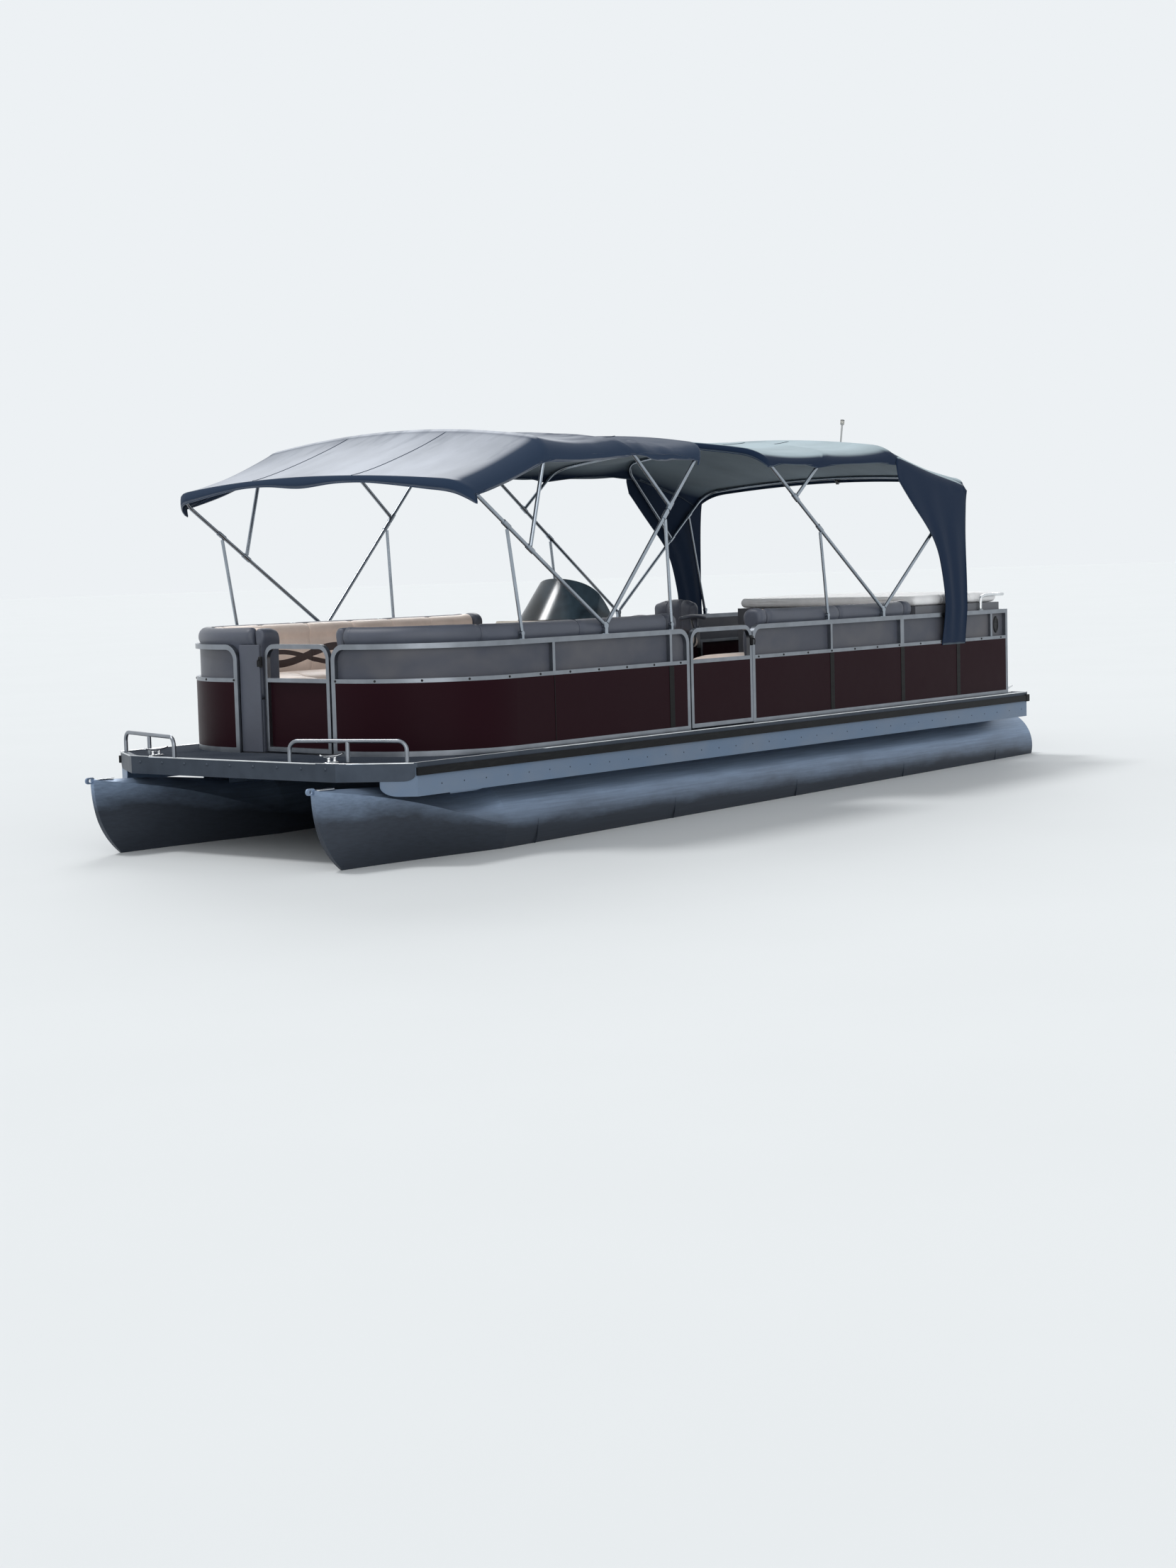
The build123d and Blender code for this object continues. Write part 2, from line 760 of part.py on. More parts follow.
def brace_pair(main, up, foot_at):
    """Struts from sleeves on a main bow down to feet on the top rail, both sides."""
    main_foot, main_run, main_leg = leg_run(main)
    top = main_foot + main_run * up
    foot = Vector(station(foot_at), 0, fence_top + mount_height)
    run = (top - foot).normalized()
    short = end_gap(run, main_run, brace_tube)
    with BuildPart() as pair:
        for side in SIDES.values():
            shift = Vector(0, side * bow_half, 0)
            with BuildSketch(Plane(origin=foot + shift + run * (mount_radius + clearance), z_dir=run)):
                Circle(brace_tube)
            extrude(amount=(top - foot).length - short - mount_radius - clearance)
        add(sleeve(main, up))
    return pair.part


def rail_mount(at, height, radius):
    """Hinge feet on the top rail: a round eye on a narrow riser, on both sides."""
    with BuildPart() as feet:
        for side in SIDES.values():
            y = side * (bow_half - 4)
            with BuildSketch(Plane.XZ.offset(-y)):
                with Locations((station(at), fence_top + height)):
                    Circle(radius)
                with Locations((station(at), fence_top + height / 2)):
                    Rectangle(radius * 1.4, height)
            extrude(amount=mount_width / 2, both=True)
            block(station(at), side * fence_offset, fence_top, radius * 3, rail, fence_top + 3)
    return feet.part


bow_order = ("fore", "fore_inner", "aft_inner", "aft")


def edge_and_crown(bow):
    """Corner and crown of a bow as points of the X Z plane."""
    foot, run, leg = leg_run(bow)
    return foot + run * leg, foot + run * (leg + bow[4])


def bay_middle(bow, other):
    """Corner and crown of the cloth halfway between two bows, with its sag."""
    (edge, crown), (edge2, crown2) = edge_and_crown(bow), edge_and_crown(other)
    x = (edge.X + edge2.X) / 2
    share = (x - crown.X) / (crown2.X - crown.X)
    middle = crown + (crown2 - crown) * share
    return Vector(x, 0, (edge.Z + edge2.Z) / 2 - canopy_sag), middle - Vector(0, 0, canopy_sag)


def canopy_lift(bows, key):
    """How far up a leg the cloth must pass so that it clears the tube square to the cloth."""
    place = bow_order.index(key)
    run = leg_run(bows[key])[1]
    slant = 1
    for other in bow_order[max(place - 1, 0) : place + 2]:
        if other != key:
            near, far = edge_and_crown(bows[key]), bay_middle(bows[key], bows[other])
            for start, end in zip(near, far):
                slant = min(slant, run.cross((end - start).normalized()).length)
    return (bow_tube + canopy_gap) / slant


def cloth_section(plane, corner, rise, lift, drop):
    """The cloth in one plane: a crowned band with round corners and a drop at each side."""
    turn = bow_turn * drop / canopy_drop
    with BuildSketch(plane) as section:
        with BuildLine() as outline:
            for out in (lift, lift + canopy_sheet):
                hoop_line(bow_half + out, corner - drop, corner + out, rise)
            for side in SIDES.values():
                inner, outer = side * (bow_half + lift), side * (bow_half + lift + canopy_sheet)
                Line((inner, corner - drop), (outer, corner - drop))
            for out in (lift, lift + canopy_sheet):
                ends = [plane.from_local_coords((y, corner + out)) for y in (-bow_half - out, bow_half + out)]
                corners = [v for v in outline.vertices() if min((v.center() - e).length for e in ends) < 0.01]
                fillet(corners, turn + out)
        make_face()
    return section.sketch


for name, bows, braces in (("front", front_bows, front_braces), ("rear", rear_bows, rear_braces)):
    with BuildPart() as bow_set:
        for key in ("fore", "aft"):
            add(make_bow(bows[key], pivot_radius + clearance))
            add(inner_bow(bows[key], bows[f"{key}_inner"]))
        add(rail_mount(bows["fore"][0], bows["fore"][1] - fence_top, pivot_radius))
        for up, foot_at in braces:
            add(rail_mount(foot_at, mount_height, mount_radius))
    save(bow_set, f"{name}_bows")
    with BuildPart() as brace_set:
        for key, brace in zip(("fore", "aft"), braces):
            add(brace_pair(bows[key], *brace))
    save(brace_set, f"{name}_braces")
    sections = []
    for key, following in zip(bow_order, bow_order[1:] + (None,)):
        foot, run, leg = leg_run(bows[key])
        rise = bows[key][4]
        lift = canopy_lift(bows, key)
        sections.append(cloth_section(bow_plane(*bows[key][:4]), leg, rise, lift, canopy_drop))
        if following:
            drop = canopy_drop * (run.Z + leg_run(bows[following])[1].Z) / 2
            edge, crown = bay_middle(bows[key], bows[following])
            upright = Plane(origin=(edge.X, 0, 0), x_dir=(0, 1, 0), z_dir=(1, 0, 0))
            rise = crown.Z - edge.Z
            sections.append(cloth_section(upright, edge.Z, rise, bow_tube + canopy_gap, drop))
    with BuildPart() as canopy:
        loft(sections, ruled=True)
    save(canopy, f"{name}_canopy")

# Side curtains of the rear top: they hang outside the bows and snap to the middle rail
curtain_sheet = 4
curtain_out = bow_half + sleeve_radius + 2
# Edges of a curtain as stations and heights: the fore one upwards, the aft one downwards
curtain_fore = [
    (1307, 1160),
    (1288, 1485),
    (1333, 1756),
    (1416, 1936),
    (1500, 2043),
    (1736, 2238),
    (1933, 2395),
]
curtain_top = [(1890, 2480), (1840, 2490), (1337, 2375)]
curtain_aft = [(925, 2275), (942, 2077), (934, 1600), (925, 1160)]
fence_face = fence_offset + rail / 2
with BuildPart() as rear_curtains:
    with BuildSketch(Plane.XZ):
        with BuildLine():
            Spline(*[(station(at), z) for at, z in curtain_fore])
            Polyline(*[(station(at), z) for at, z in (curtain_fore[-1], *curtain_top, curtain_aft[0])])
            Spline(*[(station(at), z) for at, z in curtain_aft])
            Line((station(curtain_aft[-1][0]), 1160), (station(curtain_fore[0][0]), 1160))
        make_face()
    extrude(amount=beam / 2, both=True)
    with BuildSketch(Plane.YZ):
        for side in SIDES.values():
            with BuildLine():
                Polyline(
                    (side * (fence_face + clearance), 1160),
                    (side * (fence_face + clearance), 1200),
                    (side * curtain_out, 1440),
                    (side * curtain_out, 2510),
                    (side * (curtain_out + curtain_sheet), 2510),
                    (side * (curtain_out + curtain_sheet), 1440),
                    (side * (fence_face + clearance + curtain_sheet), 1200),
                    (side * (fence_face + clearance + curtain_sheet), 1160),
                    close=True,
                )
            make_face()
    extrude(amount=stern_to_origin, both=True, mode=Mode.INTERSECT)
save(rear_curtains, "rear_curtains")

# Couches: a moulded base, a seat cushion and a back cushion that follow the fence
fence_inner = rail / 2 + 2
back_depth = 150
seat_depth = 470
base_height = 330
seat_height = 110
back_top = 1515
seat_z = deck_top + base_height
couch_base_depth = back_depth + seat_depth - 30


def couch_band(side, start, end, near, far):
    """Plan of a strip between two distances inside the fence line."""
    return fence_band(side, start, end, -(near + far) / 2, far - near)


port_bow_run = (PORT, 4640, 425)
starboard_bow_run = (STARBOARD, 3960, 235)
bow_runs = {"port_bow": port_bow_run, "starboard_bow": starboard_bow_run}
aft_couch = (1650, 3690)
sundeck = (320, 1600, -430)
sundeck_height = 735
sundeck_cushion = 90

with BuildPart() as couch_bases:
    for run in bow_runs.values():
        with BuildSketch(Plane.XY.offset(deck_top)):
            add(couch_band(*run, fence_inner, couch_base_depth))
        extrude(amount=base_height)
    aft, fore = aft_couch
    block(
        station((aft + fore) / 2),
        fence_offset - (fence_inner + couch_base_depth) / 2,
        deck_top,
        fore - aft,
        couch_base_depth - fence_inner,
        seat_z,
    )
    aft, fore, inboard = sundeck
    outboard = fence_offset - fence_inner
    block(
        station((aft + fore) / 2),
        (outboard + inboard) / 2,
        deck_top,
        fore - aft,
        outboard - inboard,
        deck_top + sundeck_height,
    )
save(couch_bases, "couch_bases")

for name, run in bow_runs.items():
    with BuildPart() as seat:
        with BuildSketch(Plane.XY.offset(seat_z)):
            add(couch_band(*run, fence_inner + back_depth + 2, fence_inner + back_depth + seat_depth))
        extrude(amount=seat_height)
    save(seat, f"{name}_seat")
    with BuildPart() as back:
        with BuildSketch(Plane.XY.offset(seat_z)):
            add(couch_band(*run, fence_inner, fence_inner + back_depth))
        extrude(amount=back_top - seat_z)
    save(back, f"{name}_back")

aft, fore = aft_couch
with BuildPart() as port_aft_seat:
    block(
        station((aft + fore) / 2),
        fence_offset - fence_inner - back_depth - 2 - seat_depth / 2,
        seat_z,
        fore - aft,
        seat_depth - 2,
        seat_z + seat_height,
    )
save(port_aft_seat, "port_aft_seat")
with BuildPart() as port_aft_back:
    block(
        station((aft + fore) / 2),
        fence_offset - fence_inner - back_depth / 2,
        seat_z,
        fore - aft,
        back_depth,
        back_top,
    )
save(port_aft_back, "port_aft_back")
aft, fore, inboard = sundeck
with BuildPart() as sundeck_pad:
    block(
        station((aft + fore) / 2),
        (fence_offset - fence_inner + inboard) / 2,
        deck_top + sundeck_height,
        fore - aft,
        fence_offset - fence_inner - inboard,
        deck_top + sundeck_height + sundeck_cushion,
    )
save(sundeck_pad, "sundeck_pad")

# Helm: a console with a sloped dash, a curved windscreen and a wheel on the dash
console_aft, console_fore = 3000, 3760
console_port, console_starboard = -480, -1190
console_top = 1440
dash_low = 1180
dash_slope = 130
with BuildPart() as helm_console:
    with BuildSketch(Plane.XZ.offset(-console_port)):
        with BuildLine():
            Polyline(
                (station(console_aft + 120), deck_top),
                (station(console_aft + 120), dash_low - 120),
                (station(console_aft), dash_low),
                (station(console_aft + dash_slope), console_top),
                (station(console_fore - 90), console_top),
                (station(console_fore), console_top - 120),
                (station(console_fore), deck_top),
                close=True,
            )
        make_face()
    extrude(amount=console_port - console_starboard)
save(helm_console, "helm_console")

screen_wall = 5
screen_top = 1747
console_middle = (console_port + console_starboard) / 2


def screen_section(fore, aft, half):
    """Bent sheet of the windscreen in plan: two wings and a round front."""
    front, back, inner = station(fore), station(aft), half - screen_wall
    near, far = console_middle - half, console_middle + half
    x = front - half
    Line((back, near), (x, near))
    ThreePointArc((x, near), (front, console_middle), (x, far))
    Polyline((x, far), (back, far), (back, far - screen_wall), (x, far - screen_wall))
    ThreePointArc((x, far - screen_wall), (x + inner, console_middle), (x, near + screen_wall))
    Polyline((x, near + screen_wall), (back, near + screen_wall), (back, near))


with BuildPart() as windscreen:
    for z, fore, half in ((console_top, 3655, 330), (screen_top, 3400, 255)):
        with BuildSketch(Plane.XY.offset(z)):
            with BuildLine():
                screen_section(fore, 3060, half)
            make_face()
    loft(ruled=True)
    with BuildSketch(Plane.XZ.offset(-console_middle)):
        with BuildLine():
            Spline((station(3135), 1462), (station(3210), 1600), (station(3400), screen_top))
            Polyline(
                (station(3400), screen_top),
                (station(3700), screen_top),
                (station(3700), console_top),
                (station(3135), console_top),
                (station(3135), 1462),
            )
        make_face()
    extrude(amount=400, both=True, mode=Mode.INTERSECT)
save(windscreen, "windscreen")

wheel_radius = 170
wheel_up_dash = 120
wheel_standoff = 160
dash_foot = Vector(station(console_aft), console_middle, dash_low)
dash_run = Vector(dash_slope, 0, console_top - dash_low).normalized()
dash_out = dash_run.cross(Vector(0, 1, 0))
wheel_plane = Plane(
    origin=dash_foot + dash_run * wheel_up_dash + dash_out * wheel_standoff,
    x_dir=(0, 1, 0),
    z_dir=dash_out,
)
with BuildPart() as helm_wheel:
    with BuildSketch(wheel_plane):
        Circle(wheel_radius)
        Circle(wheel_radius - 26, mode=Mode.SUBTRACT)
        Circle(45)
        with PolarLocations(0, 3, start_angle=90):
            with Locations((wheel_radius / 2, 0)):
                Rectangle(wheel_radius - 10, 26)
    extrude(amount=11, both=True)
save(helm_wheel, "helm_wheel")
with BuildPart() as wheel_column:
    with BuildSketch(wheel_plane.offset(-12)):
        Circle(34)
    extrude(amount=-(wheel_standoff - 12 - clearance))
save(wheel_column, "wheel_column")

# Captain's chair on a swivel pedestal
chair_at = (2230, -760)
chair_seat_z = deck_top + 430
with BuildPart() as chair_pedestal:
    with BuildSketch(Plane.XY.offset(deck_top)):
        with Locations((station(chair_at[0]), chair_at[1])):
            Circle(160)
    extrude(amount=12)
    with BuildSketch(Plane.XY.offset(deck_top)):
        with Locations((station(chair_at[0]), chair_at[1])):
            Circle(36)
    extrude(amount=chair_seat_z - 20 - clearance - deck_top)
save(chair_pedestal, "chair_pedestal")
with BuildPart() as chair_seat:
    block(station(chair_at[0]), chair_at[1], chair_seat_z - 20, 200, 200, chair_seat_z)
    block(station(chair_at[0]), chair_at[1], chair_seat_z, 500, 500, chair_seat_z + 110)
save(chair_seat, "chair_seat")
with BuildPart() as chair_back:
    low = chair_seat_z + 110 + clearance
    block(station(chair_at[0]) - 260, chair_at[1], low, 110, 430, 1560)
save(chair_back, "chair_back")

# Stern light: a staff on a bracket behind the crown of the aft bow
staff_radius = 7
staff_length = 470
staff_lean = radians(10)
bracket_size = 26
aft_foot, aft_run, aft_leg = leg_run(rear_bows["aft"])
aft_crown = aft_foot + aft_run * (aft_leg + rear_bows["aft"][4])
behind = Vector(-aft_run.Z, 0, aft_run.X)
staff_foot = aft_crown + behind * 38
staff_run = Vector(-sin(staff_lean), 0, cos(staff_lean))
with BuildPart() as stern_light:
    with BuildSketch(Plane(origin=aft_crown + behind * (bow_tube + clearance), z_dir=behind)):
        Rectangle(bracket_size, bracket_size)
    extrude(amount=38)
    with BuildSketch(Plane(origin=staff_foot, z_dir=staff_run)):
        Circle(staff_radius)
    extrude(amount=staff_length)
    with BuildSketch(Plane(origin=staff_foot + staff_run * staff_length, z_dir=staff_run)):
        Circle(15)
    extrude(amount=34)
save(stern_light, "stern_light")

# Motor pod: a box between the tubes with the transom plate at its aft end
transom_at = -360
transom_foot = 240
transom_top = 770
transom_wall = 44
transom_lean = radians(12)
pod_half = 300
pod_fore = 1100


def transom_x(z):
    """X of the aft face of the transom at a height."""
    return station(transom_at) - (z - transom_foot) * sin(transom_lean)


with BuildPart() as motor_pod:
    with BuildSketch(Plane.XZ):
        with BuildLine():
            Polyline(
                (transom_x(transom_foot), transom_foot),
                (transom_x(transom_top), transom_top),
                (transom_x(transom_top) + transom_wall, transom_top),
                (transom_x(beam_z) + transom_wall, beam_z),
                (station(pod_fore), beam_z),
                (station(pod_fore), beam_z - 90),
                (station(300), transom_foot),
                close=True,
            )
        make_face()
    extrude(amount=pod_half, both=True)
    with BuildSketch(Plane.XY.offset(beam_z)):
        with Locations((transom_x(transom_top), 0)):
            Rectangle(500, 2 * pod_half)
            Rectangle(501, 2 * 210, mode=Mode.SUBTRACT)
    extrude(amount=300, mode=Mode.SUBTRACT)
save(motor_pod, "motor_pod")

# Outboard motor, drawn upright on its own axes and raised about the tilt tube
motor_raised = 54
tilt_x = transom_x(transom_top) - 62
tilt_z = transom_top + 50
tilt_tube = 16
swivel_half = 70
clamp_cheek = 22
clamp_reach = 300


def motor_plane(angle):
    """Side elevation of the motor at a tilt: X forward, Y up, from the tilt tube."""
    turn = radians(angle)
    return Plane(
        origin=(tilt_x, 0, tilt_z),
        x_dir=(cos(turn), 0, -sin(turn)),
        z_dir=(0, -1, 0),
    )


motor_side = motor_plane(motor_raised)
motor_up = Plane(origin=motor_side.origin, x_dir=motor_side.x_dir, z_dir=motor_side.y_dir)

with BuildPart() as outboard_clamp:
    for side in SIDES.values():
        y = side * (swivel_half + 1 + clamp_cheek / 2)
        with BuildSketch(Plane.XZ.offset(-y)):
            with BuildLine():
                Polyline(
                    (tilt_x - 34, tilt_z + 30),
                    (tilt_x + 34, tilt_z + 30),
                    (transom_x(transom_top) + transom_wall + 24, transom_top + 26),
                    (transom_x(transom_top - 120) + transom_wall + 24, transom_top - 120),
                    (transom_x(transom_top - 120) + transom_wall + 0.2, transom_top - 120),
                    (transom_x(transom_top) + transom_wall + 0.2, transom_top + 0.2),
                    (transom_x(transom_top) - 0.2, transom_top + 0.2),
                    (transom_x(transom_top - clamp_reach) - 0.2, transom_top - clamp_reach),
                    (transom_x(transom_top - clamp_reach) - 40, transom_top - clamp_reach),
                    (tilt_x - 34, tilt_z - 60),
                    close=True,
                )
            make_face()
        extrude(amount=clamp_cheek / 2, both=True)
    with BuildSketch(Plane.XZ):
        with Locations((tilt_x, tilt_z)):
            Circle(tilt_tube)
    extrude(amount=swivel_half + clamp_cheek + 14, both=True)
save(outboard_clamp, "outboard_clamp")

# Swivel bracket: an eye on the tilt tube and the steering post behind it
steer_back = 78
steer_post = 20
swivel_depth = 330
with BuildPart() as outboard_swivel:
    with BuildSketch(motor_side):
        Circle(30)
        with BuildLine():
            Polyline(
                (0, 30),
                (-steer_back, 40),
                (-steer_back, -swivel_depth),
                (-steer_back + 26, -swivel_depth),
                (26, -20),
                close=True,
            )
        make_face()
    extrude(amount=swivel_half, both=True)
    with BuildSketch(motor_side):
        Circle(tilt_tube + running_fit)
    extrude(amount=swivel_half + 1, both=True, mode=Mode.SUBTRACT)
    with BuildSketch(motor_up.offset(-swivel_depth)):
        with Locations((-steer_back, 0)):
            Circle(steer_post + 16)
    extrude(amount=swivel_depth + 40)
    with BuildSketch(motor_up.offset(-swivel_depth - 1)):
        with Locations((-steer_back, 0)):
            Circle(steer_post + running_fit)
    extrude(amount=swivel_depth + 42, mode=Mode.SUBTRACT)
save(outboard_swivel, "outboard_swivel")

# Leg: steering post, midsection, cavitation plate, gearcase and skeg
leg_back = 182
leg_length = 620
gear_drop = 190
gearcase_radius = 52
shaft_radius = 9
with BuildPart() as outboard_leg:
    with BuildSketch(motor_up.offset(-swivel_depth - 30)):
        with Locations((-steer_back, 0)):
            Circle(steer_post)
    extrude(amount=swivel_depth + 30 + 70)
    for z in (-swivel_depth - 40, 44):
        with BuildSketch(motor_up.offset(z)):
            with Locations((-steer_back - 60, 0)):
                SlotOverall(210, 84)
        extrude(amount=36)
    with BuildSketch(motor_up.offset(80)):
        with Locations((-leg_back - 40, 0)):
            SlotOverall(470, 300)
    extrude(amount=70)
    with BuildSketch(motor_up.offset(80)):
        with Locations((-leg_back - 60, 0)):
            Ellipse(115, 70)
    with BuildSketch(motor_up.offset(-300)):
        with Locations((-leg_back - 60, 0)):
            Ellipse(95, 48)
    with BuildSketch(motor_up.offset(-leg_length)):
        with Locations((-leg_back - 60, 0)):
            Ellipse(110, 26)
    with BuildSketch(motor_up.offset(-leg_length - gear_drop + 45)):
        with Locations((-leg_back - 50, 0)):
            Ellipse(115, 22)
    loft(ruled=True)
    with BuildSketch(motor_up.offset(-leg_length)):
        with Locations((-leg_back - 110, 0)):
            SlotOverall(340, 190)
    extrude(amount=8)
    with BuildSketch(motor_side):
        with BuildLine():
            skeg = -leg_length - gear_drop
            Polyline(
                (-leg_back - 120, skeg - 10),
                (-leg_back + 40, skeg - 10),
                (-leg_back - 60, skeg - 165),
                (-leg_back - 110, skeg - 165),
                close=True,
            )
        make_face()
    extrude(amount=6, both=True)
    gear_axis = Plane(
        origin=motor_side.from_local_coords((-leg_back - 175, -leg_length - gear_drop, 0)),
        x_dir=(0, 1, 0),
        z_dir=motor_side.x_dir,
    )
    with BuildSketch(gear_axis):
        Circle(gearcase_radius)
    extrude(amount=240)
    with BuildSketch(gear_axis.offset(240)):
        Circle(gearcase_radius)
    extrude(amount=70, taper=32)
    with BuildSketch(gear_axis):
        Circle(shaft_radius)
    extrude(amount=-90)
save(outboard_leg, "outboard_leg")

# Cowl: a hollow hood over the powerhead
cowl_low, cowl_high = 150, 560
with BuildPart() as outboard_cowl:
    for inset, mode in ((0, Mode.ADD), (6, Mode.SUBTRACT)):
        for z, length, width, shift in (
            (cowl_low, 470, 300, 0),
            (cowl_low + 230, 480, 320, 4),
            (cowl_high - 40, 420, 270, -10),
            (cowl_high, 300, 190, -20),
        ):
            top = z - inset if z == cowl_high else z
            with BuildSketch(motor_up.offset(top)):
                with Locations((-leg_back - 40 + shift, 0)):
                    SlotOverall(length - 2 * inset, width - 2 * inset)
        loft(ruled=True, mode=mode)
save(outboard_cowl, "outboard_cowl")

with BuildPart() as outboard_engine:
    with BuildSketch(motor_up.offset(cowl_low)):
        with Locations((-leg_back - 40, 0)):
            Rectangle(300, 180)
    extrude(amount=330)
save(outboard_engine, "outboard_engine")

# Propeller: three pitched blades on a hub
prop_radius = 165
hub_radius = 42
hub_length = 86
# Blade section: distance from the axis, chord, thickness, pitch angle
blade_sections = [(hub_radius - 6, 92, 10, 30), (105, 128, 7, 22), (prop_radius, 60, 4, 15)]
with BuildPart() as outboard_propeller:
    with BuildSketch(gear_axis.offset(-2)):
        Circle(hub_radius)
        Circle(shaft_radius + running_fit, mode=Mode.SUBTRACT)
    extrude(amount=-hub_length)
    for i in range(3):
        turn = radians(120 * i)
        out = gear_axis.x_dir * cos(turn) + gear_axis.y_dir * sin(turn)
        across = gear_axis.z_dir.cross(out)
        root = gear_axis.origin - gear_axis.z_dir * (2 + hub_length / 2)
        for span, chord, thick, pitch in blade_sections:
            chord_line = across * cos(radians(pitch)) + gear_axis.z_dir * sin(radians(pitch))
            with BuildSketch(Plane(origin=root + out * span, x_dir=chord_line, z_dir=out)):
                Rectangle(chord, thick)
        loft(ruled=True)
save(outboard_propeller, "outboard_propeller")
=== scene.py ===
"""Pontoon boat: finishes, canvas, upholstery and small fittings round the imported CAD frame.

Lengths are in metres in the frame of the CAD model: +X forward, +Y to port, +Z up from the keels.
"""
from math import atan2, cos, exp, hypot, pi, radians, sin, sqrt, tau

import bpy
from mathutils import Matrix, Vector, noise
from mathutils.bvhtree import BVHTree


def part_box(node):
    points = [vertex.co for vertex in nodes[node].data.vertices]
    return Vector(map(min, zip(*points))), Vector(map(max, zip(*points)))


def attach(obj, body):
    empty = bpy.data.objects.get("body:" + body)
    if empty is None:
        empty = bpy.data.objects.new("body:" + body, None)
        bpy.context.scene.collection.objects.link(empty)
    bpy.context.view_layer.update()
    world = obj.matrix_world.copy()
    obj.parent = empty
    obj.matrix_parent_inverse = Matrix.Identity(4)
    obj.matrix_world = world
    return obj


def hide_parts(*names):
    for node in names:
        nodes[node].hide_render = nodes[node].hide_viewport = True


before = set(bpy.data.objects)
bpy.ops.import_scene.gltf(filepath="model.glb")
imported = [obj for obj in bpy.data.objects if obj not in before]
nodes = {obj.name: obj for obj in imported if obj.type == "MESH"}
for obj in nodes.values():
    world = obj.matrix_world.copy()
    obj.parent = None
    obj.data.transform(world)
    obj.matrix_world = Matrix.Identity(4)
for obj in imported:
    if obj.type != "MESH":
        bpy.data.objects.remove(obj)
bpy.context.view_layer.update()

bl_info = {
    "name": "Pontoon boat",
    "version": (1, 0, 0),
    "blender": (4, 5, 0),
    "location": "3D View > Sidebar > Boat",
    "description": "Canvas, upholstery, fittings and finishes on the CAD frame of a pontoon boat",
    "category": "Object",
}

# Sides, and the places that pieces are set out from: RAIL is the width of a fence rail, CORNER the
# radius of the fence's bow corners, MID_RAIL the foot and top of the middle rail, SEAT the top of
# the couch bases, STERN how far aft of the origin the deck ends
PORT, STARBOARD = 1, -1
SIDES = {"port": PORT, "starboard": STARBOARD}
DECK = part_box("deck")[1].z
FENCE_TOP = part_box("starboard_fence")[1].z
FENCE_OUT = -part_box("starboard_fence")[0].y
RAIL = 0.032
FENCE_LINE = FENCE_OUT - RAIL / 2
FENCE_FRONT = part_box("starboard_fence")[1].x - RAIL / 2
CORNER = 0.740
MID_RAIL = (DECK + 0.442, DECK + 0.467)
SEAT = DECK + 0.330
STERN = 3.137


def station(millimetres):
    """X of a point this far forward of the aft edge of the deck."""
    return millimetres / 1000 - STERN


# Colours and sizes
def linear(hex_value):
    """An sRGB hex colour as linear red, green and blue."""
    channels = [int(hex_value[i : i + 2], 16) / 255 for i in (1, 3, 5)]
    return tuple(c / 12.92 if c <= 0.04045 else ((c + 0.055) / 1.055) ** 2.4 for c in channels)


def colour(name, hex_value, description):
    """A colour setting with its default given as sRGB hex."""
    return bpy.props.FloatVectorProperty(
        name=name,
        description=description,
        subtype="COLOR",
        size=3,
        min=0.0,
        max=1.0,
        default=linear(hex_value),
    )


def length(name, metres, description):
    """A length setting in metres."""
    return bpy.props.FloatProperty(
        name=name,
        description=description,
        default=metres,
        min=0.0,
        subtype="DISTANCE",
        unit="LENGTH",
    )


class BOAT_PG_colours(bpy.types.PropertyGroup):
    """Colours a user would change."""

    # Several defaults carry painted shade: the lower and upper panels, skirts, carpet, rails and
    # outer vinyl are darker and bluer than their own colours, as in shade under a blue sky, and the
    # upper panels are really a light tan; the blue of the tubes is painted sky reflection, and the
    # inner vinyl is lightened as painted sunlight.
    lower_panel: colour("Lower panels", "#220B13", "Enamel of the lower fence sheets")
    upper_panel: colour("Upper panels", "#484B55", "Enamel of the upper fence sheets")
    skirt: colour("Skirts", "#667A92", "Enamel of the side skirts")
    rub_rail: colour("Rub rail", "#06080C", "Vinyl of the rub rail")
    carpet: colour("Carpet", "#252F3D", "Deck carpet")
    tube: colour("Tubes", "#8699B2", "Bare aluminium of the tubes")
    rails: colour("Rails", "#8A8F96", "Anodised aluminium of the fence")
    front_canvas: colour("Front canvas", "#24344A", "Unfaded front top")
    # the two faded canvas tones are partly sun fading and partly painted sheen and sky reflection
    # on upward faces
    front_faded: colour("Front canvas, faded", "#C2C7D0", "Front top where the sun has bleached it")
    rear_canvas: colour("Rear canvas", "#10233B", "Unfaded rear top and curtains")
    rear_faded: colour("Rear canvas, faded", "#A9BAC1", "Rear top where the sun has bleached it")
    outer_vinyl: colour("Outer vinyl", "#484D5A", "Outsides of the couches")
    inner_vinyl: colour("Inner vinyl", "#F0DDD0", "Insides of the couches")
    stripe: colour("Stripes", "#33211F", "Curved stripes on the couch backs")
    white_vinyl: colour("Sundeck vinyl", "#F6F6F6", "Sundeck pad")
    console: colour("Console", "#C9C1B4", "Gelcoat of the helm console")
    motor: colour("Motor", "#26292C", "Enamel of the outboard")


class BOAT_PG_sizes(bpy.types.PropertyGroup):
    """Sizes a user would change."""

    canopy_sag: length("Canopy sag", 0.022, "How far the cloth hangs between two bows")
    canopy_cloth: length("Canopy cloth", 0.0025, "Thickness of the tops with their hems")
    front_drop: length("Front side drop", 0.150, "Cloth below the corner of a bow, front top")
    rear_drop: length("Rear side drop", 0.185, "Cloth below the corner of a bow, rear top")
    cushion_swell: length("Cushion swell", 0.009, "Most that the foam pushes a cushion's cover out")
    snap_pitch: length("Snap pitch", 0.300, "Distance between snaps along the middle rail")
    rivet_pitch: length("Rivet pitch", 0.200, "Distance between rivets in the deck trim")


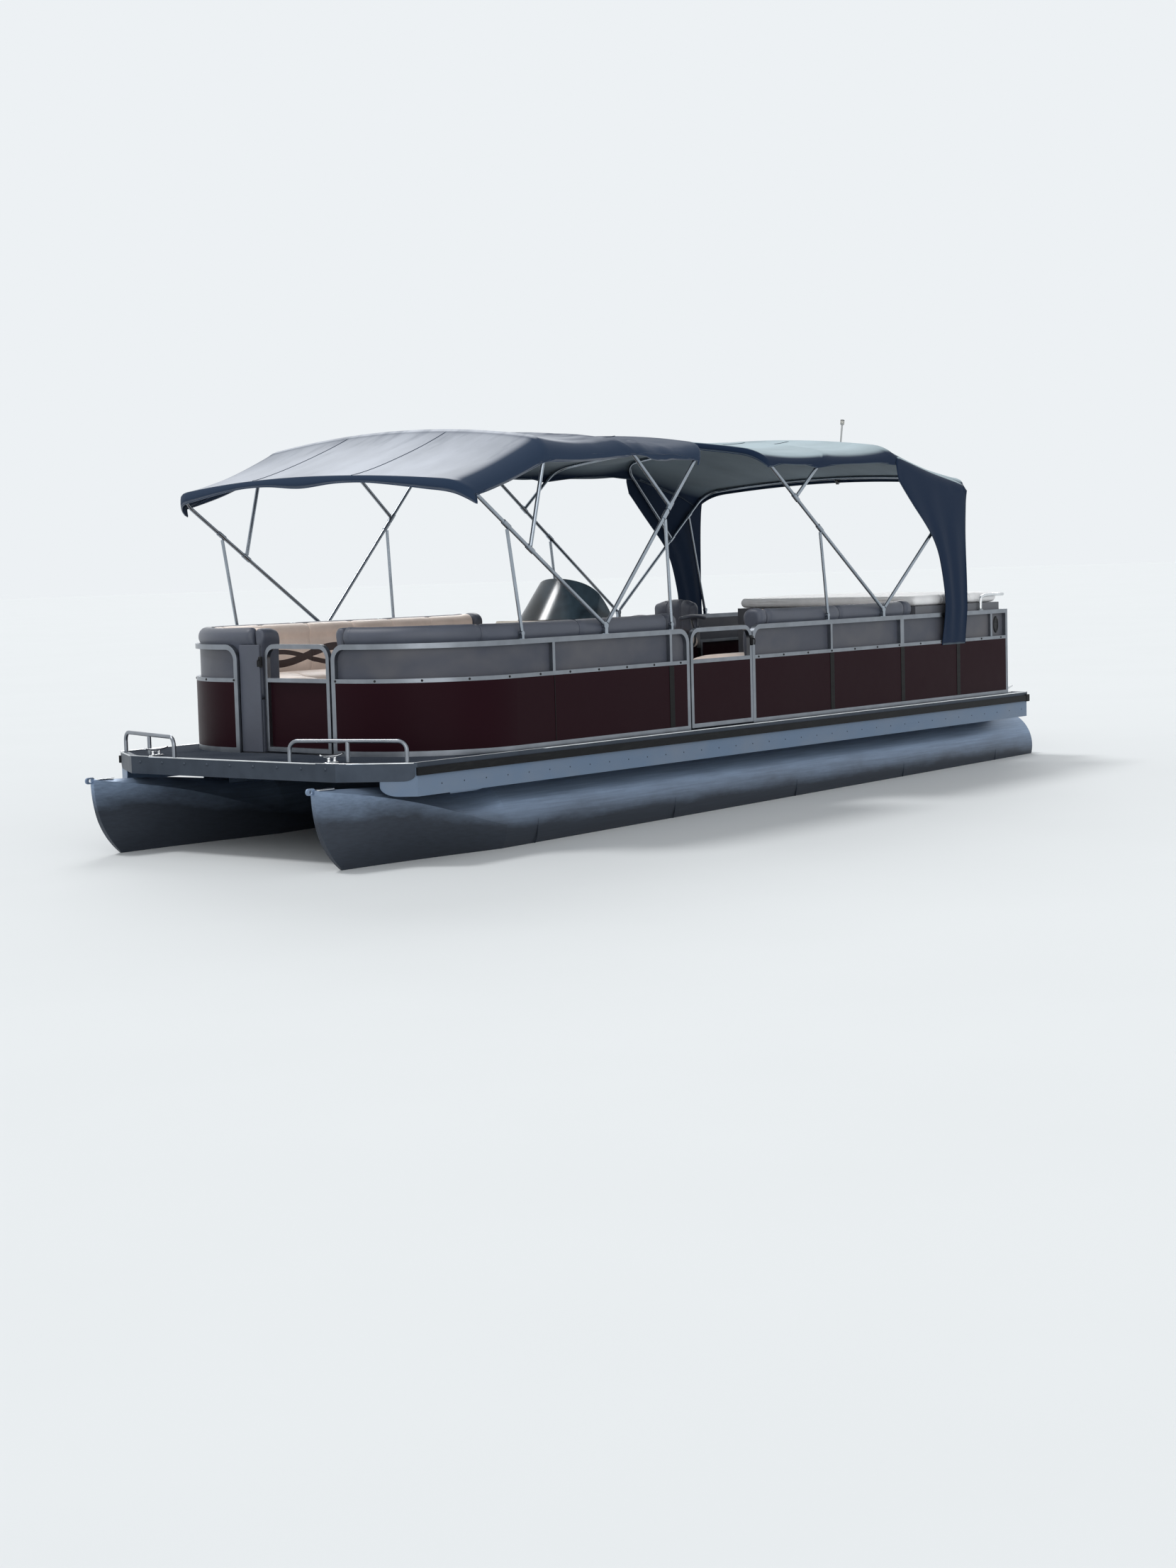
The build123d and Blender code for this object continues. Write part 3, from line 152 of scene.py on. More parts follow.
# Node and mesh helpers
def add_node(tree, kind, inputs=None, **settings):
    """One shader node: settings are its own properties, inputs are values or sockets to link."""
    node = tree.nodes.new(kind)
    for key, value in settings.items():
        setattr(node, key, value)
    for key, value in (inputs or {}).items():
        if isinstance(value, bpy.types.NodeSocket):
            tree.links.new(value, node.inputs[key])
        else:
            node.inputs[key].default_value = value
    return node


def start_finish(name, **inputs):
    """A new material with its shader's plain values set on the sockets."""
    finish = bpy.data.materials.new(name)
    finish.use_nodes = True
    shader = finish.node_tree.nodes["Principled BSDF"]
    for key, value in inputs.items():
        shader.inputs[key.replace("_", " ")].default_value = value
    return finish, finish.node_tree, shader


def place(tree, stretch=(1, 1, 1), turn=(0, 0, 0)):
    """Object coordinates, stretched and turned."""
    coordinates = add_node(tree, "ShaderNodeTexCoord")
    return add_node(
        tree,
        "ShaderNodeMapping",
        {"Vector": coordinates.outputs["Object"], "Scale": stretch, "Rotation": turn},
    ).outputs["Vector"]


def shade_by(tree, shader, amount, low, high, where=(0.35, 0.65)):
    """Base colour between two tones by a 0 to 1 amount."""
    ramp = add_node(tree, "ShaderNodeValToRGB", {"Fac": amount})
    for stop, at, tone in zip(ramp.color_ramp.elements, where, (low, high)):
        stop.position = at
        stop.color = (*tone, 1.0)
    if shader:
        tree.links.new(ramp.outputs["Color"], shader.inputs["Base Color"])
    return ramp.outputs["Color"]


def grain(tree, stretch=(1, 1, 1), scale=1.0, detail=3.0, roughness=0.5):
    """Noise over the object's own coordinates, 0 to 1."""
    return add_node(
        tree,
        "ShaderNodeTexNoise",
        {"Vector": place(tree, stretch), "Scale": scale, "Detail": detail, "Roughness": roughness},
    ).outputs["Fac"]


def cells(tree, scale):
    """Distance to the nearest of points scattered this densely."""
    return add_node(
        tree, "ShaderNodeTexVoronoi", {"Vector": place(tree), "Scale": scale}
    ).outputs["Distance"]


def reckon(tree, operation, *values):
    """One step of arithmetic on values or sockets."""
    return add_node(tree, "ShaderNodeMath", dict(enumerate(values)), operation=operation).outputs[0]


def spread(tree, value, start, end, low=0.0, high=1.0, **settings):
    """The span from start to end brought to the span from low to high."""
    limits = {"From Min": start, "From Max": end, "To Min": low, "To Max": high}
    node = add_node(tree, "ShaderNodeMapRange", {"Value": value, **limits}, **settings)
    return node.outputs["Result"]


def blend(tree, share, tone, other):
    """Colour this share of the way from a tone to another; each is a tone or a socket."""
    return add_node(
        tree, "ShaderNodeMix", {"Factor": share, "A": tone, "B": other}, data_type="RGBA"
    ).outputs["Result"]


def roughen(tree, shader, amount, low, high):
    """Roughness between two values by a 0 to 1 amount."""
    tree.links.new(spread(tree, amount, 0.0, 1.0, low, high), shader.inputs["Roughness"])


def raise_relief(tree, shader, height, depth, strength=1.0):
    """Bump of this depth in metres."""
    bump = add_node(
        tree, "ShaderNodeBump", {"Height": height, "Distance": depth, "Strength": strength}
    )
    tree.links.new(bump.outputs["Normal"], shader.inputs["Normal"])


def darker(tone, share):
    """The same tone with less light in it."""
    return tuple(c * share for c in tone)


def mixed(tone, other, share):
    """A tone this far on the way to another."""
    return tuple(a + (b - a) * share for a, b in zip(tone, other))


# Finishes
def mill_aluminium(tone):
    """Rolled aluminium sheet, bare: half its shine gone under oxide, streaked, and dark over its
    lower part, partly an algae tide mark and partly painted shade and reflection of dark water.
    """
    finish, tree, shader = start_finish("mill_aluminium", Metallic=0.55, Roughness=0.45)
    # rolling streaks about 12 mm apart round the tube and 400 mm long
    streaks = grain(tree, (2.5, 80.0, 80.0), detail=4.0)
    clouds = grain(tree, (2.0, 6.0, 6.0), detail=5.0, roughness=0.65)
    metal = shade_by(tree, None, streaks, darker(tone, 0.72), tone, (0.25, 0.7))
    spot = add_node(tree, "ShaderNodeSeparateXYZ", {"Vector": place(tree)})
    # the dark lower band, algae where the bow wave wets the nose and painted shade, reaches 0.16 m
    # higher on the nose than on the rest of the tube
    wave = spread(tree, spot.outputs["X"], 3.2, 4.3, 0.0, -0.16, interpolation_type="SMOOTHSTEP")
    band_height = reckon(tree, "ADD", spot.outputs["Z"], wave)
    edge = reckon(tree, "MULTIPLY_ADD", clouds, 0.16, band_height)
    # dark band, partly algae film and partly painted shade and reflection of dark water: full below
    # mid height, gone near the top
    film = spread(tree, edge, 0.33, 0.50, 0.88, 0.0)
    shown = blend(tree, film, metal, (*linear("#25262B"), 1.0))
    tree.links.new(shown, shader.inputs["Base Color"])
    roughen(tree, shader, clouds, 0.3, 0.55)
    raise_relief(tree, shader, clouds, 0.004, 0.35)
    return finish


def anodised_aluminium(name, tone, roughness, along=(1.0, 220.0, 220.0)):
    """Satin metal with fine lines along it: anodised extrusion, bright tube or stainless steel."""
    finish, tree, shader = start_finish(name, Metallic=1.0, Roughness=roughness)
    lines = grain(tree, along, 2.0)
    smears = grain(tree, scale=9.0, detail=4.0)
    shade_by(tree, shader, smears, darker(tone, 0.82), tone)
    roughen(tree, shader, smears, roughness * 0.8, roughness * 1.3)
    raise_relief(tree, shader, lines, 0.0003, 0.4)
    return finish


def cast_aluminium(name, tone, roughness):
    """Cast or welded aluminium: soft dimples a few millimetres across."""
    finish, tree, shader = start_finish(name, Metallic=1.0, Roughness=roughness)
    dimples = grain(tree, scale=140.0)
    shade_by(tree, shader, dimples, darker(tone, 0.7), tone)
    raise_relief(tree, shader, dimples, 0.0008, 0.5)
    return finish


def sheet_enamel(name, tone, dust, shine=0.2):
    """Baked enamel on aluminium sheet: faint ripple and a thin, uneven film of dust."""
    finish, tree, shader = start_finish(name, IOR=1.5, Specular_IOR_Level=shine)
    ripple_height = grain(tree, (3.0, 3.0, 4.0), detail=2.0)
    film = grain(tree, (2.2, 2.2, 3.0))
    dusty = mixed(tone, linear("#9A948C"), dust)
    shade_by(tree, shader, film, tone, dusty, (0.4, 0.75))
    roughen(tree, shader, film, 0.30, 0.48)
    # sheet between its posts is never quite flat: 2 mm over a third of a metre
    raise_relief(tree, shader, ripple_height, 0.006, 0.5)
    return finish


def marine_carpet(tone):
    """Needle-punched carpet: matt, with tufts drawn 5 mm apart, coarser than the real 2 mm."""
    finish, tree, shader = start_finish("marine_carpet", Roughness=0.95, Specular_IOR_Level=0.05)
    tufts = cells(tree, 200.0)
    tread = grain(tree, scale=2.2, detail=5.0)
    worn = reckon(tree, "MULTIPLY_ADD", tufts, 0.5, tread)
    lighter = mixed(tone, (1, 1, 1), 0.04)
    shade_by(tree, shader, worn, darker(tone, 0.7), lighter, (0.4, 0.95))
    raise_relief(tree, shader, tufts, 0.003, 0.7)
    return finish


def moulded_vinyl(name, tone, scuffed=0.12):
    """PVC, rubber, ABS or laminate: even, half matt, with scuffs a little greyer than the rest."""
    finish, tree, shader = start_finish(name, IOR=1.53, Specular_IOR_Level=0.15)
    scuffs = grain(tree, (6.0, 30.0, 30.0), detail=6.0, roughness=0.7)
    shade_by(tree, shader, scuffs, tone, mixed(tone, (0.5, 0.5, 0.5), scuffed), (0.5, 0.8))
    roughen(tree, shader, scuffs, 0.35, 0.6)
    return finish


def woven_canvas(name, tone, faded, slope, light_fades_aft=None):
    """Solution-dyed acrylic canvas: matt plain weave, lighter on upward faces, partly from sun
    fading and partly painted sheen and sky reflection, with painted light glowing on its underside.

    The real threads lie 0.6 mm apart; they are drawn 3 mm apart so that the weave shows.
    slope are the upward shares of the normal between which the lightening sets in.
    light_fades_aft are the two X between which the lightening fades out towards the stern.
    """
    finish, tree, shader = start_finish(
        name, Roughness=0.85, Specular_IOR_Level=0.2, Sheen_Weight=0.05
    )
    weave = []
    for turn in (0.0, pi / 2):
        threads = {"Vector": place(tree, turn=(0, 0, turn)), "Scale": 52.0}
        threads.update({"Distortion": 0.6, "Detail": 1.0})
        weave.append(
            add_node(tree, "ShaderNodeTexWave", threads, bands_direction="X").outputs["Fac"]
        )
    cloth = reckon(tree, "MAXIMUM", *weave)
    stains = grain(tree, (0.9, 2.2, 2.0), detail=6.0, roughness=0.55)
    bleached = shade_by(tree, None, stains, darker(faded, 0.74), faded, (0.32, 0.62))
    normal = add_node(tree, "ShaderNodeNewGeometry").outputs["Normal"]
    upward = add_node(tree, "ShaderNodeSeparateXYZ", {"Vector": normal}).outputs["Z"]
    # upward faces lighter: partly sun fading, partly painted sheen and sky reflection
    sun = spread(tree, upward, *slope, interpolation_type="SMOOTHSTEP")
    if light_fades_aft:
        # torn-looking edge of the lightened part, sun fading and painted sheen, in streaks along
        # the boat
        reach = 1.9
        streaks = grain(tree, (1.6, 8.0, 3.0), detail=5.0, roughness=0.6)
        spot = add_node(tree, "ShaderNodeSeparateXYZ", {"Vector": place(tree)})
        ragged = reckon(tree, "MULTIPLY_ADD", streaks, reach, spot.outputs["X"])
        low, high = light_fades_aft
        along = spread(tree, ragged, low + reach / 2, high + reach / 2, 0.06)
        sun = reckon(tree, "MULTIPLY", sun, along)
    # painted light: cloth facing down is lighter, as if lit through from above
    painted_underglow = spread(tree, upward, -0.9, -0.4, 0.42, 0.0)
    share = reckon(tree, "MAXIMUM", sun, painted_underglow)
    tree.links.new(blend(tree, share, (*tone, 1.0), bleached), shader.inputs["Base Color"])
    raise_relief(tree, shader, cloth, 0.0008, 0.35)
    return finish


def upholstery_vinyl(name, tone, pores=420.0):
    """Marine upholstery vinyl over foam: leather grain, soft sheen, dirt held in the grain."""
    finish, tree, shader = start_finish(name, Roughness=0.42, IOR=1.5, Sheen_Weight=0.08)
    leather = cells(tree, pores)
    wear = grain(tree, scale=5.0, detail=6.0, roughness=0.65)
    shade_by(tree, shader, wear, darker(tone, 0.84), tone)
    roughen(tree, shader, wear, 0.34, 0.55)
    raise_relief(tree, shader, leather, 0.0009, 0.5)
    return finish


def striped_vinyl(tone, stripe):
    """The same vinyl with two inlaid stripes that swing up and down along the backrest."""
    finish = upholstery_vinyl("striped_vinyl", tone)
    tree = finish.node_tree
    shader = tree.nodes["Principled BSDF"]
    plain = shader.inputs["Base Color"].links[0].from_socket
    spot = add_node(tree, "ShaderNodeSeparateXYZ", {"Vector": place(tree)})
    along = reckon(tree, "ADD", spot.outputs["X"], spot.outputs["Y"])
    bands = []
    # middle height, swing and half width of each stripe, both in waves of 1.1 m
    for middle, swing, half in ((1.285, 0.050, 0.026), (1.270, -0.045, 0.016)):
        curve = reckon(tree, "SINE", reckon(tree, "MULTIPLY", along, 5.7))
        line = reckon(tree, "MULTIPLY_ADD", curve, swing, middle)
        bands.append(reckon(tree, "COMPARE", spot.outputs["Z"], line, half))
    inlay = reckon(tree, "MAXIMUM", *bands)
    tree.links.new(blend(tree, inlay, plain, (*stripe, 1.0)), shader.inputs["Base Color"])
    return finish


def gelcoat(name, tone, roughness=0.25):
    """Smooth skin of moulded glass fibre, polyethylene or painted metal, slightly chalked."""
    finish, tree, shader = start_finish(name, Roughness=roughness, IOR=1.5, Coat_Weight=0.2)
    chalk = grain(tree, scale=7.0, detail=5.0)
    shade_by(tree, shader, chalk, darker(tone, 0.85), tone)
    roughen(tree, shader, chalk, roughness * 0.8, roughness * 1.6)
    return finish


def smoked_acrylic():
    """Cast acrylic sheet with a smoke dye, hazed by years of sun and wiping."""
    finish, tree, shader = start_finish(
        "smoked_acrylic",
        Roughness=0.2,
        IOR=1.49,
        Transmission_Weight=0.92,
        Specular_IOR_Level=0.15,
    )
    haze = grain(tree, scale=12.0, detail=4.0)
    shade_by(tree, shader, haze, linear("#28343C"), linear("#35434C"))
    return finish


def clear_lens():
    """Moulded polycarbonate with fine vertical ribs: milky where light spreads in it."""
    finish, tree, shader = start_finish(
        "clear_lens", Roughness=0.12, IOR=1.58, Transmission_Weight=0.5
    )
    ribs = add_node(
        tree, "ShaderNodeTexWave", {"Vector": place(tree), "Scale": 120.0}, bands_direction="Y"
    )
    shade_by(tree, shader, ribs.outputs["Fac"], linear("#C9C6BC"), linear("#F2F0E8"))
    return finish


finishes = {}


# Mesh helpers
def show(name, data, body, finish):
    """A piece from mesh or curve data, with its finish, that moves with a body."""
    piece = bpy.data.objects.new(name, data)
    bpy.context.scene.collection.objects.link(piece)
    data.materials.append(finishes[finish])
    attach(piece, body)
    return piece


def mesh_from(name, points, faces):
    """Smooth-shaded mesh."""
    mesh = bpy.data.meshes.new(name)
    mesh.from_pydata([tuple(p) for p in points], [], faces)
    mesh.validate()
    mesh.update()
    mesh.shade_smooth()
    return mesh


def grid_faces(tall, count, closed):
    """Faces between this many rows of points, each row closed or open."""
    faces = []
    for i in range(tall - 1):
        for j in range(count if closed else count - 1):
            k = (j + 1) % count
            faces.append((i * count + j, i * count + k, (i + 1) * count + k, (i + 1) * count + j))
    return faces


def skin(name, rings, closed=True, capped=True):
    """Mesh through rows of points: closed rings with end caps, or open rows."""
    count = len(rings[0])
    points = [p for ring in rings for p in ring]
    faces = grid_faces(len(rings), count, closed)
    if closed and capped:
        faces.append(tuple(reversed(range(count))))
        faces.append(tuple(range(len(points) - count, len(points))))
    return mesh_from(name, points, faces)


def joined(name, meshes):
    """One mesh out of several."""
    points, faces = [], []
    for mesh in meshes:
        base = len(points)
        points += [v.co.copy() for v in mesh.vertices]
        faces += [tuple(base + i for i in p.vertices) for p in mesh.polygons]
        bpy.data.meshes.remove(mesh)
    return mesh_from(name, points, faces)


def block(name, low, high):
    """A box between two corners."""
    (a, b, c), (d, e, f) = low, high
    points = [(x, y, z) for z in (c, f) for x, y in ((a, b), (d, b), (d, e), (a, e))]
    faces = [(3, 2, 1, 0), (4, 5, 6, 7), (0, 1, 5, 4), (1, 2, 6, 5), (2, 3, 7, 6), (3, 0, 4, 7)]
    return mesh_from(name, points, faces)


def sharpen(piece, width, segments=2, angle=35):
    """Small rounded edges wherever two faces meet at more than this many degrees."""
    bevel = piece.modifiers.new("rounded edges", "BEVEL")
    bevel.width = width
    bevel.segments = segments
    bevel.limit_method = "ANGLE"
    bevel.angle_limit = radians(angle)
    bevel.harden_normals = True
    return piece


def round_angles(count):
    """Angles of this many points round a circle."""
    return [tau * i / count for i in range(count)]


def turned(profile, at, out, segments=16):
    """Surface of revolution: profile rows are radius and height along the outward axis."""
    turn = Vector(out).normalized().to_track_quat("Z", "Y").to_matrix()
    rings = []
    for radius, height in profile:
        ring = [
            Vector(at) + turn @ Vector((radius * cos(a), radius * sin(a), height))
            for a in round_angles(segments)
        ]
        rings.append(ring)
    return skin("turned", rings)


def cable(name, points, radius, body, finish, cyclic=False, order=3, round_section=3):
    """Round bar or bead along a smooth line through these control points."""
    curve = bpy.data.curves.new(name, "CURVE")
    curve.dimensions = "3D"
    curve.bevel_depth = radius
    curve.bevel_resolution = round_section
    curve.use_fill_caps = not cyclic
    spline = curve.splines.new("NURBS")
    spline.points.add(len(points) - 1)
    for point, place_of in zip(spline.points, points):
        point.co = (*place_of, 1.0)
    spline.use_cyclic_u = cyclic
    spline.order_u = order
    spline.use_endpoint_u = not cyclic
    spline.resolution_u = 4
    return show(name, curve, body, finish)


def smooth_loop(corners, spacing, closed=True):
    """A smooth line through few corners, as evenly spaced points."""
    count, steps = len(corners), 12
    dense = []
    for i in range(count if closed else count - 1):
        around = (i - 1, i, i + 1, i + 2)
        four = [corners[k % count if closed else min(max(k, 0), count - 1)] for k in around]
        a, b, c, d = (Vector(p) for p in four)
        for k in range(steps):
            t = k / steps
            curve = 2 * b + (c - a) * t
            curve += (2 * a - 5 * b + 4 * c - d) * t**2
            curve += (3 * b - a - 3 * c + d) * t**3
            dense.append(0.5 * curve)
    dense.append(dense[0] if closed else Vector(corners[-1]))
    return even(dense, spacing, closed)


def even(line, spacing, closed=False):
    """Points evenly spaced along a line."""
    lengths = [0.0]
    for a, b in zip(line, line[1:]):
        lengths.append(lengths[-1] + (b - a).length)
    count = max(3, round(lengths[-1] / spacing))
    found, i = [], 0
    for k in range(count if closed else count + 1):
        goal = lengths[-1] * k / count
        while i < len(lengths) - 2 and lengths[i + 1] < goal:
            i += 1
        share = (goal - lengths[i]) / max(lengths[i + 1] - lengths[i], 1e-9)
        found.append(line[i].lerp(line[i + 1], min(share, 1.0)))
    return found


def fence_run(side, start, end, inset, spacing=0.025):
    """Plan points this far inside the fence line, from x = start round the bow to |y| = end.

    Each row holds the point and the direction out of the boat there.
    """
    radius = CORNER - inset
    middle = Vector((FENCE_FRONT - CORNER, FENCE_LINE - CORNER, 0))
    line = [Vector((start, FENCE_LINE - inset, 0)), Vector((middle.x, FENCE_LINE - inset, 0))]
    corner_steps = 24
    for i in range(1, corner_steps + 1):
        a = pi / 2 * i / corner_steps
        line.append(middle + radius * Vector((sin(a), cos(a), 0)))
    line.append(Vector((FENCE_FRONT - inset, end, 0)))
    rows = []
    for point in even(line, spacing):
        if point.x <= middle.x:
            out = Vector((0, 1, 0))
        elif point.y <= middle.y:
            out = Vector((1, 0, 0))
        else:
            out = (point - middle).normalized()
        rows.append((Vector((point.x, point.y * side, 0)), Vector((out.x, out.y * side, 0))))
    return rows


# Cushions: rings in a rounded end, depth of a seam, rise and radius of its thread, frames of cloth
END_STEPS = 6
SEAM_DEPTH, THREAD_RISE, THREAD = 0.011, 0.004, 0.0035
SWELL_FRAMES = 16


def fold_ends(rings, rounding):
    """Closes both ends of a row of upright rings with a rounded end of this length."""
    upright = Vector((0, 0, 1))
    ends = []
    for near, far in ((rings[0], rings[1]), (rings[-1], rings[-2])):
        away = sum(near, Vector()) / len(near) - sum(far, Vector()) / len(far)
        away = Vector((away.x, away.y, 0)).normalized()
        spans = []
        for axis in (away.cross(upright), upright):
            reach = [p.dot(axis) for p in near]
            spans.append((axis, (max(reach) + min(reach)) / 2, (max(reach) - min(reach)) / 2))
        end = []
        for k in range(1, END_STEPS + 1):
            a = pi / 2 * k / END_STEPS
            ring = []
            for p in near:
                moved = p + away * rounding * sin(a)
                for axis, middle, half in spans:
                    inward = min(rounding, half * 0.9) * (1 - cos(a)) / half
                    moved -= axis * (p.dot(axis) - middle) * inward
                ring.append(moved)
            end.append(ring)
        ends.append(end)
    return [*reversed(ends[0]), *rings, *ends[1]]


def swell(piece, most, guard=None):
    """Blows a cushion's cover up by a cloth simulation and keeps each point within reach."""
    scene = bpy.context.scene
    start = [v.co.copy() for v in piece.data.vertices]
    cloth = piece.modifiers.new("cover", "CLOTH")
    cloth.settings.quality = 4
    cloth.settings.mass = 0.4
    cloth.settings.tension_stiffness = 25
    cloth.settings.bending_stiffness = 2.0
    cloth.settings.use_pressure = True
    cloth.settings.uniform_pressure_force = 4.0
    cloth.settings.effector_weights.gravity = 0.0
    cloth.collision_settings.use_collision = False
    for frame_number in range(1, SWELL_FRAMES + 1):
        scene.frame_set(frame_number)
    graph = bpy.context.evaluated_depsgraph_get()
    blown = bpy.data.meshes.new_from_object(piece.evaluated_get(graph))
    for vertex, origin, moved in zip(piece.data.vertices, start, blown.vertices):
        step = moved.co - origin
        if step.length > most:
            step *= most / step.length
        vertex.co = origin + step
    bpy.data.meshes.remove(blown)
    piece.modifiers.clear()
    scene.frame_set(1)
    if guard:
        for vertex in piece.data.vertices:
            vertex.co = guard(vertex.co)
    piece.data.update()
    return piece


def cushion(
    name, rings, body, finish, rounding, most, seams=(), nodes_replaced=(), guard=None
):
    """A padded piece through upright rings of points, its cover sewn down at the rings in seams."""
    rings = fold_ends(rings, rounding)
    count = len(rings[0])
    piece = show(name, skin(name, rings), body, finish)
    swell(piece, most, guard)
    spots = piece.data.vertices
    for seam in seams:
        first = (seam + END_STEPS) * count
        ring = [spots[i] for i in range(first, first + count)]
        sewn = [v.co - v.normal * SEAM_DEPTH for v in ring]
        for vertex, moved in zip(ring, sewn):
            vertex.co = moved
        line = [v.co + v.normal * THREAD_RISE for v in ring]
        cable(f"{name}_seam_{seam}", line, THREAD, body, finish, cyclic=True)
    piece.data.update()
    soften(piece)
    if nodes_replaced:
        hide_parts(*nodes_replaced)
    return piece


def soften(piece):
    """Subdivision surface."""
    rounding = piece.modifiers.new("softness", "SUBSURF")
    rounding.levels = 1
    rounding.render_levels = 1
    return piece


# Side and lift of the four corners of an outline, in the order they are drawn
QUARTERS = ((1, 1), (-1, 1), (-1, -1), (1, -1))


def pad_rings(low, high, turn, crown=0.0, spacing=0.03):
    """Upright rings along X for a pad in this box, its corners rounded, crowned on top."""
    middle, half = (Vector(low) + Vector(high)) / 2, (Vector(high) - Vector(low)) / 2
    turn = min(turn, half.z * 0.95, half.y * 0.95)
    flat_y, flat_z = half.y - turn, half.z - turn
    outline = []
    for i, (side, lift) in enumerate(QUARTERS):
        for k in range(5):
            a = pi / 2 * i + pi / 2 * k / 4
            outline.append((side * flat_y + turn * cos(a), lift * flat_z + turn * sin(a)))
        next_side, next_lift = QUARTERS[(i + 1) % 4]
        gap = Vector(((next_side - side) * flat_y, (next_lift - lift) * flat_z))
        steps = int(gap.length / spacing)
        y, z = outline[-1]
        for k in range(1, steps):
            outline.append((y + gap.x * k / steps, z + gap.y * k / steps))
    rings = []
    reach = half.x - turn
    count = max(2, round(2 * reach / spacing))
    for k in range(count + 1):
        x = -reach + 2 * reach * k / count
        ring = []
        for y, z in outline:
            swelling = crown * (1 - (x / half.x) ** 2) * (1 - (y / half.y) ** 2) if z > 0 else 0.0
            ring.append(middle + Vector((x, y, z + swelling)))
        rings.append(ring)
    return rings


# Canvas tops: half width of a bow, radius of its bend and of its tube. Then for each bow X and Z
# of its leg's foot, X and Z of its corner, and the rise of its crown
BOW_HALF, BOW_TURN, BOW_TUBE = 1.238, 0.160, 0.0125
front_bows = [
    (station(5453), 1.459, station(6770), 2.350, 0.120),
    (station(6182), 1.952, station(6001), 2.607, 0.110),
    (station(4738), 2.214, station(5199), 2.613, 0.150),
    (station(5453), 1.459, station(4369), 2.603, 0.150),
]
rear_bows = [
    (station(2115), 1.459, station(3672), 2.577, 0.200),
    (station(3252), 2.275, station(2866), 2.577, 0.200),
    (station(1373), 2.035, station(1975), 2.627, 0.140),
    (station(2115), 1.459, station(890), 2.410, 0.120),
]
CROWN_STEPS, TURN_STEPS, DROP_STEPS = 26, 6, 6
CLOTH_OUT = BOW_TUBE + 0.004
# Curtains, as X and Z of their edges: fore one upwards, top one aftwards, aft one downwards
curtain_edges = (
    [(1268, 1160), (1250, 1485), (1303, 1756), (1398, 1936), (1492, 2043), (1690, 2215),
     (1905, 2410)],
    [(1905, 2410), (1935, 2520), (1880, 2580), (1440, 2500), (1080, 2430), (930, 2385),
     (905, 2340)],
    [(905, 2340), (925, 2240), (938, 2000), (934, 1600), (925, 1160)],
)
# Y of a curtain where it hangs flat
CURTAIN_FACE = 1.2405


def across_bow(bow, neighbours, out, drop):
    """The cloth over one bow, from port hem to starboard hem, this far off the tube's line."""
    foot_x, foot_z, x, z, rise = bow
    leg = Vector((x - foot_x, 0, z - foot_z)).normalized()
    slant = 1.0
    for other in neighbours:
        cloth = Vector((other[2] - x, 0, other[3] - z)).normalized()
        slant = min(slant, leg.cross(cloth).length)
    up = out / slant
    half, turn = BOW_HALF + out, BOW_TURN + out
    radius = (half**2 + rise**2) / (2 * rise)
    low = rise - radius
    turn_y = half - turn
    turn_w = low + sqrt((radius - turn) ** 2 - turn_y**2)
    reach = atan2(turn_y, turn_w - low)
    side = []
    for k in range(CROWN_STEPS + 1):
        a = reach * k / CROWN_STEPS
        side.append((radius * sin(a), low + radius * cos(a)))
    for k in range(1, TURN_STEPS + 1):
        a = reach + (pi / 2 - reach) * k / TURN_STEPS
        side.append((turn_y + turn * sin(a), turn_w + turn * cos(a)))
    for k in range(1, DROP_STEPS + 1):
        side.append((half, turn_w - (turn_w + drop) * k / DROP_STEPS))
    across = [*reversed(side), *((-y, w) for y, w in side[1:])]
    corner = Vector((x, 0, z))
    return [corner + leg * (w + up) + Vector((0, y, 0)) for y, w in across]


def hem_share(j, count):
    """1 at the side hems of a row of the cloth, 0 all over its crown."""
    return max(0, DROP_STEPS + 1 - min(j, count - 1 - j)) / (DROP_STEPS + 1)


def bounded(value):
    """The value kept between 0 and 1."""
    return min(1.0, max(0.0, value))


def bell(value, width):
    """1 at zero, falling off to either side in a bell curve of this width."""
    return exp(-((value / width) ** 2))


def canopy_rows(bows, out, drop, sag, skirt, wrinkle, spacing=0.035):
    """Rows of points of a top from its fore hem to its aft hem."""
    scallop, drawn_in, ridge, ridge_width = 0.030, 0.010, 0.004, 0.025
    lines = []
    for i, bow in enumerate(bows):
        neighbours = [bows[k] for k in (i - 1, i + 1) if 0 <= k < len(bows)]
        lines.append(across_bow(bow, neighbours, out, drop))
    count = len(lines[0])
    hems = [hem_share(j, count) for j in range(count)]
    rows = []
    for i, (near, far) in enumerate(zip(lines, lines[1:])):
        gap = (far[count // 2] - near[count // 2]).length
        steps = round(gap / spacing)
        for k in range(steps + (i == len(lines) - 2)):
            t = k / steps
            slack = 4 * t * (1 - t)
            row = []
            for a, b, hem in zip(near, far, hems):
                point = a.lerp(b, t)
                crown = 1 - hem
                point.z += -sag * slack * crown + scallop * slack * hem
                point.y *= 1 - drawn_in * slack * hem
                point.z += ridge * bell(min(t, 1 - t) * gap, ridge_width) * crown
                point += wrinkle(point, slack, crown)
                row.append(point)
            rows.append(row)
    # both ends turned down over their bows, the last two steps hung down
    roll, roll_steps = radians(32), 4
    for at_end, away in ((0, 1), (-1, -1)):
        edge = rows[at_end]
        for k in range(1, roll_steps + 1):
            a = roll * k
            row = []
            for point, hem in zip(edge, hems):
                moved = point + Vector((away, 0, 0)) * out * sin(a) * (1 + hem)
                hung = skirt(point.y, away) * max(0, k - 2) / 2 * (1 - hem)
                moved.z -= out * (1 - hem) * (1 - cos(a)) + hung
                row.append(moved)
            rows.insert(0, row) if at_end == 0 else rows.append(row)
    return rows


